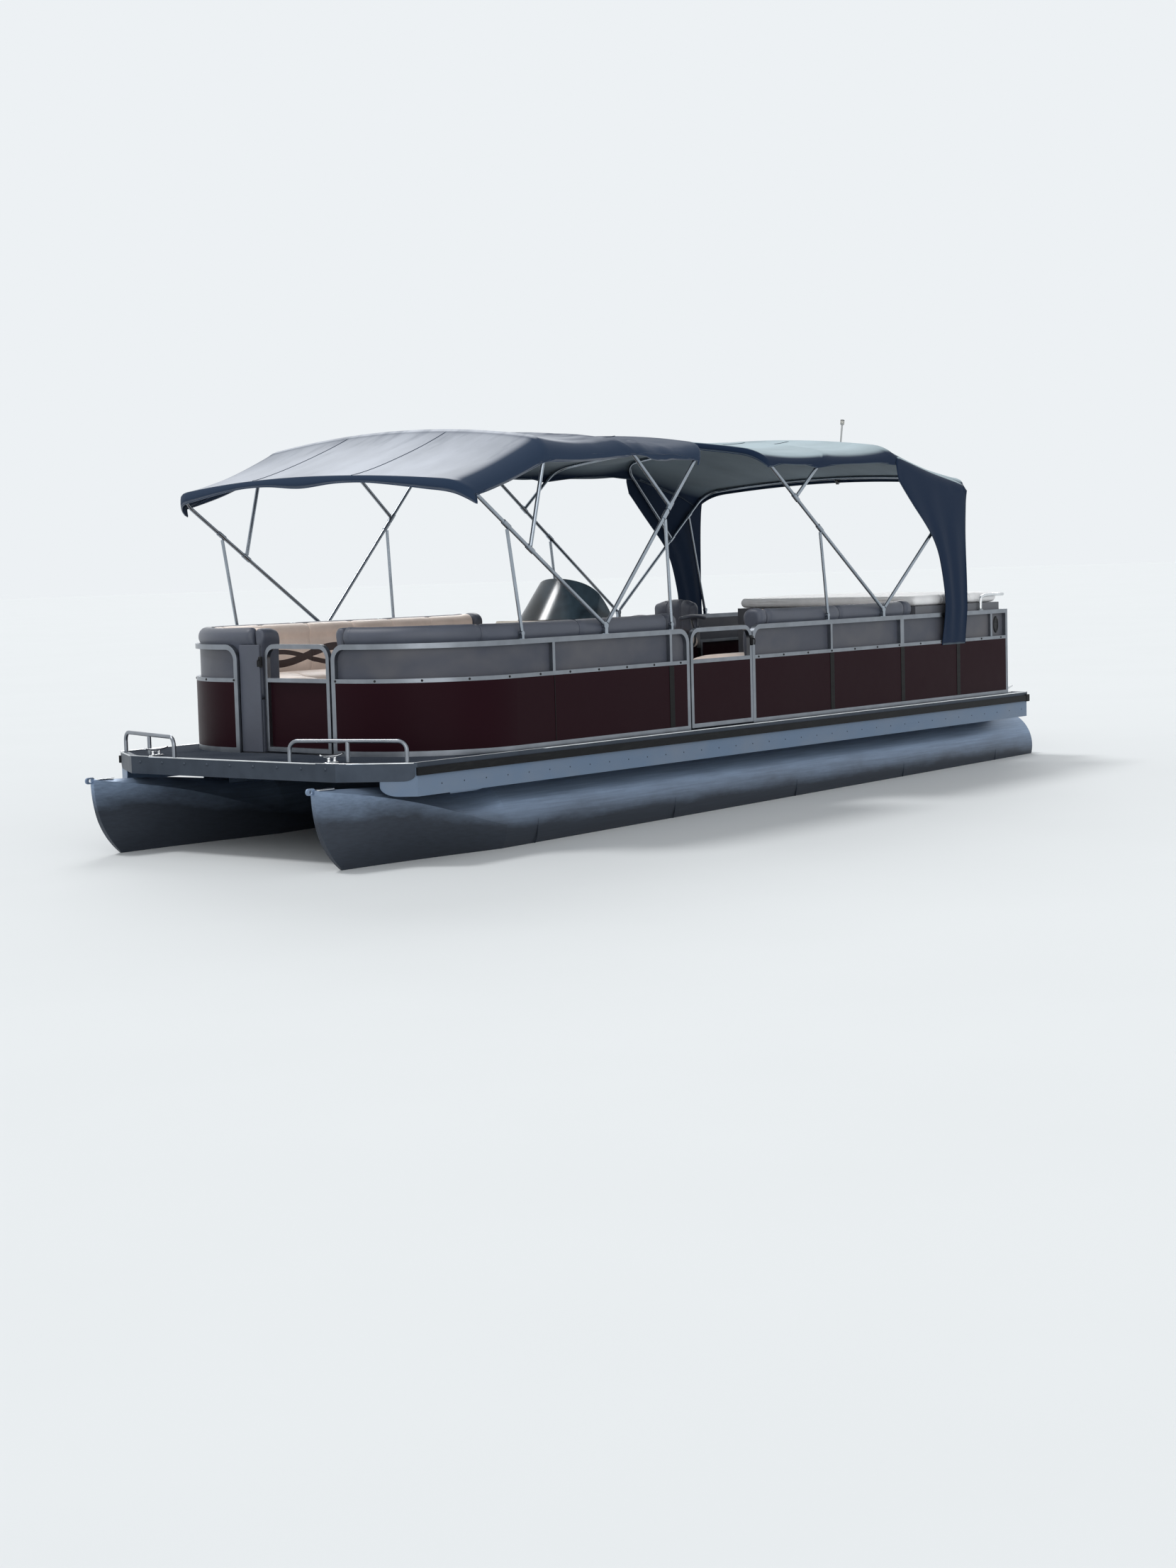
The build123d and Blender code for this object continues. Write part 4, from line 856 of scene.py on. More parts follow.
def make_sheet(name, rows, finish, thick, edges, nodes_replaced, folds=()):
    """A sheet of canvas with its hem along the edges and its seams."""
    piece = show(name, skin(name, rows, closed=False), "hull", finish)
    hem = []
    if "ends" in edges:
        hem += [("fore", rows[0]), ("aft", rows[-1])]
    if "sides" in edges:
        hem += [("port", [row[0] for row in rows]), ("starboard", [row[-1] for row in rows])]
    for key, line in hem:
        bead = line[::2] + line[-1:]
        cable(f"{name}_{key}_hem", bead, 0.004, "hull", finish)
    for column in folds:
        line = [row[column] + Vector((0, 0, 0.0022)) for row in rows[3:-3]]
        cable(f"{name}_seam_{column}", line[::2], 0.0028, "hull", finish)
    shell = piece.modifiers.new("thickness", "SOLIDIFY")
    shell.thickness = thick
    shell.offset = 0.0
    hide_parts(*nodes_replaced)
    return piece


def make_top(key, rows, thick):
    """A folding top: one sheet stretched over its bows, with a seam either side of its middle."""
    middle = len(rows[0]) // 2
    make_sheet(
        f"{key}_top",
        rows,
        f"{key}_canvas",
        thick,
        ("ends", "sides"),
        [f"{key}_canopy"],
        (middle - 10, middle + 10),
    )


def ripple(point, size, seed):
    """Smooth noise from -1 to 1 with bumps of this size in metres."""
    return noise.noise(point / size + Vector((seed, seed * 0.7, 0)))


class BOAT_OT_front_top(bpy.types.Operator):
    """Front top: one sheet over its four bows, lighter on its upward faces from sun fading and
    painted sheen, crumpled where it is slack
    """

    bl_idname = "boat.front_top"
    bl_label = "Front top"

    def execute(self, context):
        sizes = context.scene.boat_sizes

        def wrinkle(point, slack, crown):
            loose = bell(point.x - station(4950), 0.45) * bounded((point.y - 0.45) / 0.4)
            lift = 0.007 * slack * ripple(point, 0.55, 3.0) * crown
            crumple = 0.020 * loose * (ripple(point, 0.16, 7.0) + 0.5 * ripple(point, 0.07, 2.0))
            hem_wave = 0.010 * (1 - crown) * ripple(Vector((point.x, 0, 0)), 0.2, 5.0)
            return Vector((0, 0, lift + crumple * (0.4 + 0.6 * slack) + hem_wave))

        def skirt(y, away):
            if away < 0:
                return 0.020
            return 0.014 + 0.030 * bell(y, 0.22) + 0.030 * bounded((abs(y) - 0.55) / 0.5)

        rows = canopy_rows(
            front_bows, CLOTH_OUT, sizes.front_drop, sizes.canopy_sag, skirt, wrinkle
        )
        make_top("front", rows, sizes.canopy_cloth)
        return {"FINISHED"}


class BOAT_OT_rear_top(bpy.types.Operator):
    """Rear top and the two curtains that hang from its corners down to the middle rail"""

    bl_idname = "boat.rear_top"
    bl_label = "Rear top"

    def execute(self, context):
        sizes = context.scene.boat_sizes

        def wrinkle(point, slack, crown):
            lift = 0.006 * slack * ripple(point, 0.6, 11.0) * crown
            hem_wave = 0.008 * (1 - crown) * ripple(Vector((point.x, 0, 0)), 0.25, 9.0)
            return Vector((0, 0, lift + hem_wave))

        rows = canopy_rows(
            rear_bows,
            CLOTH_OUT,
            sizes.rear_drop,
            sizes.canopy_sag,
            lambda y, away: 0.022,
            wrinkle,
        )
        make_top("rear", rows, sizes.canopy_cloth)
        canvas = [p for row in rows for p in row]
        top_surface = BVHTree.FromPolygons(canvas, grid_faces(len(rows), len(rows[0]), False))
        for key, side in SIDES.items():
            curtain = self.curtain_rows(side, top_surface)
            make_sheet(
                f"{key}_curtain",
                curtain if side > 0 else [row[::-1] for row in curtain],
                "rear_canvas",
                sizes.canopy_cloth,
                ("sides",),
                ["rear_curtains"],
            )
        return {"FINISHED"}

    def curtain_rows(self, side, top_surface):
        """Rows of points of a curtain: held flat at foot and top, in soft upright folds between."""
        edges = [
            smooth_loop([Vector((station(at), 0, z / 1000)) for at, z in edge], 0.02, closed=False)
            for edge in curtain_edges
        ]
        tall, wide = 52, 28
        rows = []
        for i in range(tall + 1):
            v = i / tall
            row = []
            for j in range(wide + 1):
                u = j / wide
                up, over, down = (at_share(edge, s) for edge, s in zip(edges, (v, u, 1 - v)))
                foot = edges[0][0].lerp(edges[2][-1], u)
                head = edges[0][-1].lerp(edges[1][-1], u)
                flat = up.lerp(down, u) + foot.lerp(over, v) - foot.lerp(head, v)
                taper = bounded((flat.z - 1.20) / 0.24)
                hung = sin(pi * min(1.0, v * 1.05)) ** 0.6 if v < 0.95 else 0.25
                lines = 2.6 * u + 0.35 * sin(2.6 * v + side) + 0.1 * side
                fold = 0.5 + 0.5 * sin(tau * lines)
                wave = 0.5 + 0.5 * ripple(Vector((flat.x, side, flat.z * 0.4)), 0.16, 4.0)
                y = CURTAIN_FACE + 0.018 * taper
                y += 0.012 * hung * fold * (1 - 0.6 * v) + 0.007 * hung * wave
                beside = Vector((flat.x, side * 1.6, flat.z))
                hit = top_surface.ray_cast(beside, Vector((0, -side, 0)), 0.7)[0]
                if hit and flat.z > 2.2:
                    # outside the drop of the top
                    y = abs(hit.y) + 0.0035 + 0.002 * wave
                row.append(Vector((flat.x, side * y, flat.z)))
            rows.append(row)
        return rows


def at_share(line, share):
    """Point this share of the way along evenly spaced points."""
    place_of = share * (len(line) - 1)
    i = min(int(place_of), len(line) - 2)
    return line[i].lerp(line[i + 1], place_of - i)


# Couches: profiles as distance inside the fence line and height, from the foot of the outside up
OUTER_BACK = [
    (0.026, 1.072), (0.024, 1.200), (0.024, 1.330), (0.024, 1.398), (0.008, 1.422),
    (0.002, 1.452), (0.010, 1.486), (0.034, 1.508), (0.064, 1.514), (0.084, 1.504),
    (0.086, 1.440), (0.080, 1.380), (0.078, 1.280), (0.076, 1.180), (0.074, 1.072),
    (0.050, 1.066),
]
INNER_BACK = [
    (0.092, 1.074), (0.090, 1.200), (0.092, 1.380), (0.092, 1.490), (0.106, 1.510),
    (0.132, 1.508), (0.158, 1.490), (0.170, 1.458), (0.164, 1.424), (0.152, 1.404),
    (0.164, 1.376), (0.174, 1.330), (0.176, 1.270), (0.172, 1.215), (0.160, 1.165),
    (0.156, 1.110), (0.148, 1.076), (0.120, 1.068),
]
END_BACK = [*OUTER_BACK[:9], (0.100, 1.515), *INNER_BACK[5:], (0.070, 1.067)]
SEAT_PAD = [
    (0.176, 1.080), (0.176, 1.140), (0.190, 1.166), (0.280, 1.178), (0.400, 1.183),
    (0.520, 1.180), (0.605, 1.168), (0.634, 1.142), (0.636, 1.100), (0.624, 1.070),
    (0.520, 1.0645), (0.400, 1.0645), (0.280, 1.0645), (0.192, 1.0645),
]
# How far the padded end beside the bow gate reaches past the end of the couch's base
BOW_ARM = 0.056


def run_rings(run, reference, profile, spacing=0.028):
    """Rings of a profile swept along a run inside the fence."""
    outline = smooth_loop([Vector((d, 0, z)) for d, z in profile], spacing)
    return [
        [p + out * (reference - q.x) + Vector((0, 0, q.z)) for q in outline] for p, out in run
    ]


def straight_run(side, start, end, inset, steps):
    """Plan points and outward directions along a straight stretch of the fence."""
    out = Vector((0, side, 0))
    return [
        (Vector((start + (end - start) * k / steps, side * (FENCE_LINE - inset), 0)), out)
        for k in range(steps + 1)
    ]


def past_corner(point):
    """X and distance from the middle line, both past the centre of the fence's bow corner."""
    return point.x - (FENCE_FRONT - CORNER), abs(point.y) - (FENCE_LINE - CORNER)


def inside_fence(point):
    """How far inside the fence line a point is."""
    x, y = past_corner(point)
    if x > 0 and y > 0:
        return CORNER - hypot(x, y)
    return min(FENCE_FRONT - point.x, FENCE_LINE - abs(point.y))


def clear_of_rails(point):
    """Keeps a cushion off the inside of the fence below its top rail, and off the couch base."""
    point = point.copy()
    point.z = max(point.z, SEAT + 0.003)
    short = RAIL / 2 + 0.0025 - inside_fence(point)
    if short > 0 and point.z < FENCE_TOP + 0.010:
        x, y = past_corner(point)
        out = Vector((x, max(y, 0.0), 0)).normalized() if x > 0 else Vector((0, 1, 0))
        point -= Vector((out.x, out.y * (1 if point.y > 0 else -1), 0)) * short
    return point


def handed(rings, side):
    """Rings of the port side turned about where they run down the starboard side."""
    return rings if side > 0 else [ring[::-1] for ring in rings]


class BOAT_OT_couches(bpy.types.Operator):
    """Couches: for each an outer roll, a striped backrest and a seat pad, sewn in sections"""

    bl_idname = "boat.couches"
    bl_label = "Couches"

    def execute(self, context):
        most = context.scene.boat_sizes.cushion_swell
        turn, pad, spacing = 0.040, 0.110, 0.027
        # where each couch starts and ends, and how many sections it is sewn in
        couches = {
            "port_bow": (PORT, station(4640), 0.425, 6),
            "starboard_bow": (STARBOARD, station(3960), 0.235, 8),
            "port_aft": (PORT, station(1650), None, 4),
        }
        for name, (side, start, end, sections) in couches.items():
            for key, reference, profile, finish, node, limit in (
                ("outer_back", 0.050, OUTER_BACK, "couch_vinyl", f"{name}_back", most * 0.6),
                ("backrest", 0.130, INNER_BACK, "striped_vinyl", f"{name}_back", most * 0.8),
                ("seat_pad", 0.400, SEAT_PAD, "cream_vinyl", f"{name}_seat", most),
            ):
                fore = station(3690)
                begin = start
                if key != "seat_pad":
                    begin += pad
                    fore -= pad
                if end is None:
                    count = round((fore - begin - 2 * turn) / spacing)
                    run = straight_run(side, begin + turn, fore - turn, reference, count)
                else:
                    stop = end + BOW_ARM + 0.002 + turn
                    run = fence_run(side, begin + turn, stop, reference, spacing)
                rings = run_rings(run, reference, profile)
                gap = (len(rings) - 1) / sections
                step = 2 if key == "outer_back" else 1
                seams = [round(gap * k) for k in range(step, sections, step)]
                cushion(
                    f"{name}_{key}",
                    handed(rings, side),
                    "hull",
                    finish,
                    turn,
                    limit,
                    seams,
                    [node],
                    clear_of_rails,
                )
        # fat grey pads that close the backs
        for name, at, side in (
            ("port_bow_aft", station(4640), PORT),
            ("starboard_bow_aft", station(3960), STARBOARD),
            ("port_aft_aft", station(1650), PORT),
            ("port_aft_fore", station(3690) - pad, PORT),
        ):
            run = straight_run(side, at + turn, at + pad - turn, 0.100, 2)
            cushion(
                f"{name}_end",
                handed(run_rings(run, 0.100, END_BACK), side),
                "hull",
                "couch_vinyl",
                turn - 0.001,
                0.004,
                guard=clear_of_rails,
            )
        for name, (side, start, end, sections) in couches.items():
            if end is not None:
                self.bow_end(name, side, end)
        return {"FINISHED"}

    def bow_end(self, name, side, end):
        """End of a couch beside the bow gate: a fat round top, and boards over the base."""
        low = Vector((FENCE_FRONT - 0.194, 0, SEAT + 0.004))
        high = Vector((FENCE_FRONT - 0.024, 0, 1.506))
        low.y, high.y = sorted((side * (end - 0.006), side * (end + BOW_ARM)))
        rings = []
        for ring in pad_rings(low, high, 0.030):
            share = (ring[0].x - low.x) / (high.x - low.x)
            tall = 1.0 - 0.08 * max(0.0, 1 - share / 0.4) ** 2
            moved = []
            for p in ring:
                z = low.z + (p.z - low.z) * tall
                # the top swells towards the gate
                gateward = (p.y - (low.y + high.y) / 2) * side < 0
                fat = 0.020 * bell(z - 1.455 - 0.9 * (tall - 1), 0.045) if gateward else 0.0
                moved.append(Vector((p.x, p.y - side * fat, z)))
            rings.append(moved)
        cushion(f"{name}_arm", rings, "hull", "couch_vinyl", 0.030, 0.004)
        # padded board over the end of the base and, where the fence leaves it open, over its front
        low = Vector((FENCE_FRONT - 0.240, 0, DECK + 0.006))
        high = Vector((FENCE_FRONT - 0.020, 0, SEAT + 0.004))
        low.y, high.y = sorted((side * (end - 0.010), side * (end - 0.0015)))
        boards = [block("end", low, high)]
        if side == STARBOARD:
            low = Vector((FENCE_FRONT - 0.0165, -0.4035, DECK + 0.006))
            high = Vector((FENCE_FRONT - 0.003, -0.2255, 1.404))
            boards.append(block("front", low, high))
        boards = show(f"{name}_end_boards", joined("boards", boards), "hull", "couch_vinyl")
        sharpen(boards, 0.004, 3)


class BOAT_OT_sundeck(bpy.types.Operator):
    """Sundeck pad: white vinyl over foam in three sewn sections, with its grab rail at the stern"""

    bl_idname = "boat.sundeck"
    bl_label = "Sundeck"

    def execute(self, context):
        low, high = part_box("sundeck_pad")
        low, high = low + Vector((0.005, 0.005, 0.001)), high - Vector((0.005, 0.005, 0.010))
        rings = pad_rings(low, high, 0.038, crown=0.010, spacing=0.032)
        count = len(rings) - 1
        cushion(
            "sundeck_cushion",
            rings,
            "hull",
            "white_vinyl",
            0.038,
            context.scene.boat_sizes.cushion_swell * 0.7,
            (round(count / 3), round(count * 2 / 3)),
            ["sundeck_pad"],
        )
        top = FENCE_TOP + 0.118
        aft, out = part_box("stern_fence")[0].x + 0.012, FENCE_LINE
        rail = [
            (aft, out - 0.42, FENCE_TOP),
            (aft, out - 0.42, top - 0.03),
            (aft, out - 0.40, top),
            (aft, out - 0.06, top),
            (aft + 0.02, out, top),
            (aft + 0.06, out, top),
            (aft + 0.36, out, top),
            (aft + 0.39, out, top - 0.03),
            (aft + 0.39, out, FENCE_TOP),
        ]
        cable("stern_grab_rail", rail, 0.0125, "hull", "bright_plate", round_section=4)
        flange = [(0.024, 0), (0.024, 0.004), (0.014, 0.007), (0.0125, 0.014)]
        feet = [turned(flange, spot, (0, 0, 1), 14) for spot in (rail[0], rail[-1])]
        show("grab_rail_feet", joined("feet", feet), "hull", "cast_fittings")
        return {"FINISHED"}


def plate(name, outline, at, right, up, thick, finish, edge=0.0015):
    """A flat plate: its outline is drawn right and up from a spot, its thickness stands off it."""
    right, up = Vector(right).normalized(), Vector(up).normalized()
    out = right.cross(up)
    rings = [
        [Vector(at) + right * a + up * b + out * rise for a, b in outline]
        for rise in (0.0, thick)
    ]
    piece = show(name, skin(name, rings), "hull", finish)
    piece.data.shade_flat()
    return sharpen(piece, edge)


def oblong(wide, high, turn, steps=5):
    """Outline of a rectangle with round corners about its middle."""
    turn = min(turn, wide / 2, high / 2)
    outline = []
    for i, (side, lift) in enumerate(QUARTERS):
        for k in range(steps + 1):
            a = pi / 2 * (i + k / steps)
            y = side * (wide / 2 - turn) + turn * cos(a)
            outline.append((y, lift * (high / 2 - turn) + turn * sin(a)))
    return outline


# Slope of the dash: along it up the console, across it to starboard, and out towards the driver
DASH_FOOT = Vector((-0.137, -0.835, 1.180))
DASH_UP = Vector((0.447214, 0, 0.894427))
DASH_OUT = Vector((-0.894427, 0, 0.447214))
DASH_RIGHT = Vector((0, -1, 0))


def on_dash(right, up, out=0.0):
    """A spot on the dash."""
    return DASH_FOOT + DASH_RIGHT * right + DASH_UP * up + DASH_OUT * out


def dash_ray(angle):
    """Direction over the dash this far round from its up, clockwise for the driver."""
    return DASH_RIGHT * sin(angle) + DASH_UP * cos(angle)


def pointer(at, angle, ends, rise, thick):
    """A flat bar on a gauge: each end is a reach from the middle and a half width there."""
    ray = dash_ray(angle)
    side = ray.cross(DASH_OUT)
    rings = [
        [
            at + DASH_OUT * (rise + lift) + ray * reach + side * wide
            for wide, lift in ((half, 0), (half, thick), (-half, thick), (-half, 0))
        ]
        for reach, half in ends
    ]
    return skin("pointer", rings)


class BOAT_OT_helm(bpy.types.Operator):
    """Helm: steering wheel, gauges, switches, throttle and the trim of console and windscreen"""

    bl_idname = "boat.helm"
    bl_label = "Helm"

    def execute(self, context):
        self.steering_wheel()
        self.dash()
        self.throttle()
        self.console_trim()
        return {"FINISHED"}

    def steering_wheel(self):
        hub = Vector((-0.226443, -0.835, 1.358886))
        radius, grip, swells = 0.157, 0.0125, 24
        # the grip has finger swells underneath
        rings = []
        for a in round_angles(3 * swells):
            ray = dash_ray(a)
            thick = grip * (1 + 0.06 * cos(swells * a))
            ring = []
            for b in round_angles(12):
                ring.append(
                    hub + ray * (radius + thick * cos(b)) + DASH_OUT * thick * sin(b) * 0.92
                )
            rings.append(ring)
        rings.append(rings[0])
        rim = show("wheel_rim", skin("rim", rings, capped=False), "helm_wheel", "black_plastic")
        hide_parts("helm_wheel")
        spokes = []
        for a in round_angles(3):
            ray = dash_ray(pi + a)
            side = ray.cross(DASH_OUT)
            spoke = []
            for share in (0.0, 0.2, 0.45, 0.7, 0.9, 1.0):
                reach = 0.028 + (radius - 0.032) * share
                half = 0.017 - 0.007 * sin(pi * share)
                dish = -0.016 * (1 - share) ** 1.5
                ring = []
                for b in round_angles(10):
                    across = side * half * cos(b) + DASH_OUT * (dish + 0.0035 * sin(b))
                    ring.append(hub + ray * reach + across)
                spoke.append(ring)
            spokes.append(skin("spoke", spoke))
        show("wheel_spokes", joined("spokes", spokes), "helm_wheel", "brushed_steel")
        cap = [(0.040, -0.022), (0.043, -0.012), (0.041, -0.002), (0.034, 0.004)]
        cap += [(0.018, 0.007), (0.004, 0.008)]
        show("wheel_hub", turned(cap, hub, DASH_OUT, 28), "helm_wheel", "black_plastic")

    def dash(self):
        board = 0.004
        middle = on_dash(0, 0.150)
        plate(
            "dash_panel",
            oblong(0.66, 0.235, 0.02),
            middle,
            DASH_RIGHT * -1,
            DASH_UP,
            board,
            "dash_laminate",
        )
        bezels, faces, marks = [], [], []
        for right, up, radius in (
            (-0.255, 0.185, 0.043),
            (-0.255, 0.075, 0.030),
            (0.255, 0.185, 0.043),
            (0.180, 0.235, 0.022),
            (-0.180, 0.235, 0.022),
        ):
            at = on_dash(right, up, board)
            bezel = [(radius, 0), (radius * 1.12, 0.003), (radius * 1.08, 0.010)]
            bezel += [(radius * 0.94, 0.011), (radius * 0.90, 0.004)]
            bezels.append(turned(bezel, at, DASH_OUT, 28))
            face = [(radius * 0.92, 0.003), (radius * 0.5, 0.0045), (0.002, 0.0045)]
            faces.append(turned(face, at, DASH_OUT, 24))
            mark = ((0.66 * radius, 0.0008), (0.80 * radius, 0.0008))
            for i in range(11):
                marks.append(pointer(at, radians(-130 + 26 * i), mark, 0.0052, 0.0005))
            needle = ((-0.2 * radius, 0.0016), (0.62 * radius, 0.0004))
            marks.append(pointer(at, radians(-60), needle, 0.0062, 0.001))
        show("gauge_bezels", joined("bezels", bezels), "hull", "brushed_steel")
        show("gauge_faces", joined("faces", faces), "hull", "black_plastic")
        show("gauge_marks", joined("marks", marks), "hull", "white_print")
        switches, boots = [], []
        boot = [(0.011, 0), (0.011, 0.003), (0.007, 0.006), (0.005, 0.006)]
        lever = [(0.003, 0.004), (0.0035, 0.014), (0.0045, 0.022), (0.003, 0.025)]
        lever.append((0.0008, 0.0255))
        for i in range(5):
            at = on_dash(0.205 + 0.030 * i, 0.080, board)
            boots.append(turned(boot, at, DASH_OUT, 14))
            switches.append(turned(lever, at, DASH_OUT + DASH_UP * 0.45, 10))
        show("switch_boots", joined("boots", boots), "hull", "black_plastic")
        show("switch_levers", joined("levers", switches), "hull", "brushed_steel")

    def throttle(self):
        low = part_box("helm_console")[0]
        base = Vector((low.x + 0.150, low.y, 1.300))
        profile = [(0.058, -0.002), (0.062, 0.006), (0.060, 0.030), (0.050, 0.040)]
        profile += [(0.024, 0.044), (0.022, 0.052)]
        pod = turned(profile, base, (0, -1, 0), 26)
        show("throttle_pod", pod, "hull", "black_plastic")
        arm = [
            base + Vector(step)
            for step in (
                (0, -0.048, 0),
                (-0.004, -0.052, 0.060),
                (-0.015, -0.054, 0.110),
                (-0.024, -0.052, 0.150),
            )
        ]
        cable("throttle_arm", arm, 0.0075, "hull", "brushed_steel", round_section=4)
        knob = [(0.010, 0), (0.016, 0.006), (0.020, 0.022), (0.019, 0.040)]
        knob += [(0.012, 0.050), (0.002, 0.052)]
        knob = turned(knob, arm[-1] - Vector((0, 0, 0.008)), (-0.2, 0, 1), 20)
        show("throttle_knob", knob, "hull", "black_plastic")

    def console_trim(self):
        low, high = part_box("helm_console")
        # door on the aft face, grab rail on the front
        door_at = (low.x - 0.0005, (low.y + high.y) / 2, 0.930)
        door = oblong(0.46, 0.30, 0.03)
        plate(
            "console_door", door, door_at, (0, -1, 0), (0, 0, 1), 0.008, "console_shell", 0.003
        )
        latch = [(0.016, 0), (0.017, 0.004), (0.012, 0.008), (0.003, 0.009)]
        latch = turned(latch, (low.x - 0.0085, high.y - 0.165, 0.96), (-1, 0, 0), 18)
        show("door_latch", latch, "hull", "brushed_steel")
        front, rail_z = high.x + 0.035, 1.18
        rail = [(high.x, low.y + 0.10), (front - 0.01, low.y + 0.10), (front, low.y + 0.12)]
        rail += [(front, high.y - 0.12), (front - 0.01, high.y - 0.10), (high.x, high.y - 0.10)]
        rail = [(x, y, rail_z) for x, y in rail]
        cable("console_grab_rail", rail, 0.0095, "hull", "brushed_steel", round_section=4)
        # rubber strip under the foot of the screen
        low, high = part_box("windscreen")
        middle, foot_z, steps = (low.y + high.y) / 2, 1.4405, 12
        half = (high.y - low.y) / 2 + 0.002
        aft, fore, centre_x = low.x + 0.01, high.x - half + 0.02, high.x - half + 0.004
        foot = [(aft, middle + half), (fore, middle + half)]
        for k in range(steps + 1):
            a = pi / 2 - pi * k / steps
            foot.append((centre_x + half * cos(a), middle + half * sin(a)))
        foot += [(fore, middle - half), (aft, middle - half)]
        foot = [(x, y, foot_z) for x, y in foot]
        cable("screen_gasket", foot, 0.005, "hull", "black_plastic")


class BOAT_OT_chair(bpy.types.Operator):
    """Captain's chair: bolstered seat, rounded back, arms and the plate it turns on"""

    bl_idname = "boat.chair"
    bl_label = "Captain's chair"

    def execute(self, context):
        most = context.scene.boat_sizes.cushion_swell
        arm_out, strap_out = 0.262, 0.18
        middle = self.seat(most)
        low = self.backrest(most)
        straps = [
            block(
                "strap",
                (low.x + 0.018, middle + side - 0.016, low.z - 0.11),
                (low.x + 0.026, middle + side + 0.016, low.z + 0.06),
            )
            for side in (-strap_out, strap_out)
        ]
        straps = show("chair_straps", joined("straps", straps), "chair", "rail_aluminium")
        sharpen(straps, 0.002)
        for key, side in SIDES.items():
            self.arm(key, side, middle + side * arm_out, low)
        return {"FINISHED"}

    def seat(self, most):
        """Cushion with bolsters along both sides, on its plate; gives the middle line back."""
        low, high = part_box("chair_seat")
        pad_low = Vector((low.x + 0.012, low.y + 0.012, low.z + 0.024))
        pad_high = Vector((high.x - 0.004, high.y - 0.012, high.z - 0.012))
        rings = pad_rings(pad_low, pad_high, 0.045, spacing=0.024)
        middle = (low.y + high.y) / 2
        for ring in rings:
            for p in ring:
                if p.z > pad_low.z + 0.05:
                    bolster = 0.012 * min(1.0, abs(p.y - middle) / 0.2) ** 3
                    p.z += bolster - 0.008 * bell(p.x - low.x - 0.2, 0.13)
        seam = round((len(rings) - 1) * 0.72)
        cushion(
            "chair_cushion",
            rings,
            "chair",
            "cream_vinyl",
            0.045,
            most,
            (seam,),
            ["chair_seat"],
        )
        inset = 0.14
        plate_low = (low.x + inset, low.y + inset, low.z)
        plate_high = (high.x - inset, high.y - inset, low.z + 0.022)
        base = show("chair_plate", block("plate", plate_low, plate_high), "chair", "rail_aluminium")
        sharpen(base, 0.003)
        return middle

    def backrest(self, most):
        """Cushion with rounded shoulders and wings; gives the lower corner of its box back."""
        low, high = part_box("chair_back")
        low.z += 0.006
        # upright rings along Y, turned round from a pad drawn along X
        pad = pad_rings(
            (low.y + 0.004, -(high.x - 0.006), low.z),
            (high.y - 0.004, -(low.x + 0.004), high.z - 0.006),
            0.048,
            spacing=0.024,
        )
        rings = []
        for ring in pad:
            turned_ring = []
            for p in ring:
                y, x, z = p.x, -p.y, p.z
                side = abs(y - (low.y + high.y) / 2) / ((high.y - low.y) / 2)
                share = (z - low.z) / (high.z - low.z)
                z -= 0.060 * side**3 * share
                x += 0.016 * side**2 - 0.004
                turned_ring.append(Vector((x, y, z)))
            rings.append(turned_ring)
        count = len(rings) - 1
        cushion(
            "chair_backrest",
            rings,
            "chair",
            "couch_vinyl",
            0.040,
            most,
            (round(count * 0.25), round(count * 0.75)),
            ["chair_back"],
        )
        return low

    def arm(self, key, side, y, low):
        """Padded arm on its bent bracket, at this Y."""
        aft, fore, height = low.x + 0.050, low.x + 0.36, low.z + 0.13
        steps = 12
        rings = []
        for k in range(steps + 1):
            t = k / steps
            rise = 0.014 * sin(pi * t)
            round_end = 0.55 + 0.45 * sin(pi * min(1.0, t * 1.15)) ** 0.5 if t < 0.87 else 0.8
            half = 0.026 * round_end
            ring = []
            for c in round_angles(12):
                spot = (aft + (fore - aft) * t, y + half * cos(c), height + rise + 0.017 * sin(c))
                ring.append(Vector(spot))
            rings.append(ring)
        rest = skin("arm", fold_ends(rings, 0.012))
        rest = show(f"chair_arm_{key}", rest, "chair", "couch_vinyl")
        soften(rest)
        bracket = [
            (low.x + 0.17, y - side * 0.03, low.z - 0.085),
            (low.x + 0.17, y, low.z - 0.07),
            (low.x + 0.19, y, low.z + 0.04),
            (low.x + 0.22, y, low.z + 0.118),
        ]
        name = f"chair_arm_bracket_{key}"
        cable(name, bracket, 0.009, "chair", "rail_aluminium", round_section=4)


def heads(name, spots, profile, finish, segments=10):
    """Small turned heads, such as snaps, rivets or bolts: each spot is a point and a direction."""
    meshes = [turned(profile, at, out, segments) for at, out in spots]
    return show(name, joined(name, meshes), "hull", finish)


SNAP = [(0.0076, -0.0004), (0.0078, 0.0010), (0.0064, 0.0032), (0.0030, 0.0044), (0.0006, 0.0046)]
RIVET = [(0.0048, -0.0003), (0.0046, 0.0008), (0.0030, 0.0020), (0.0006, 0.0024)]
BOLT = [
    (0.0100, -0.0003), (0.0100, 0.0008), (0.0072, 0.0010), (0.0070, 0.0048), (0.0052, 0.0060),
    (0.0006, 0.0062),
]
# Z of the middle of every latch
LATCH_HEIGHT = 1.300


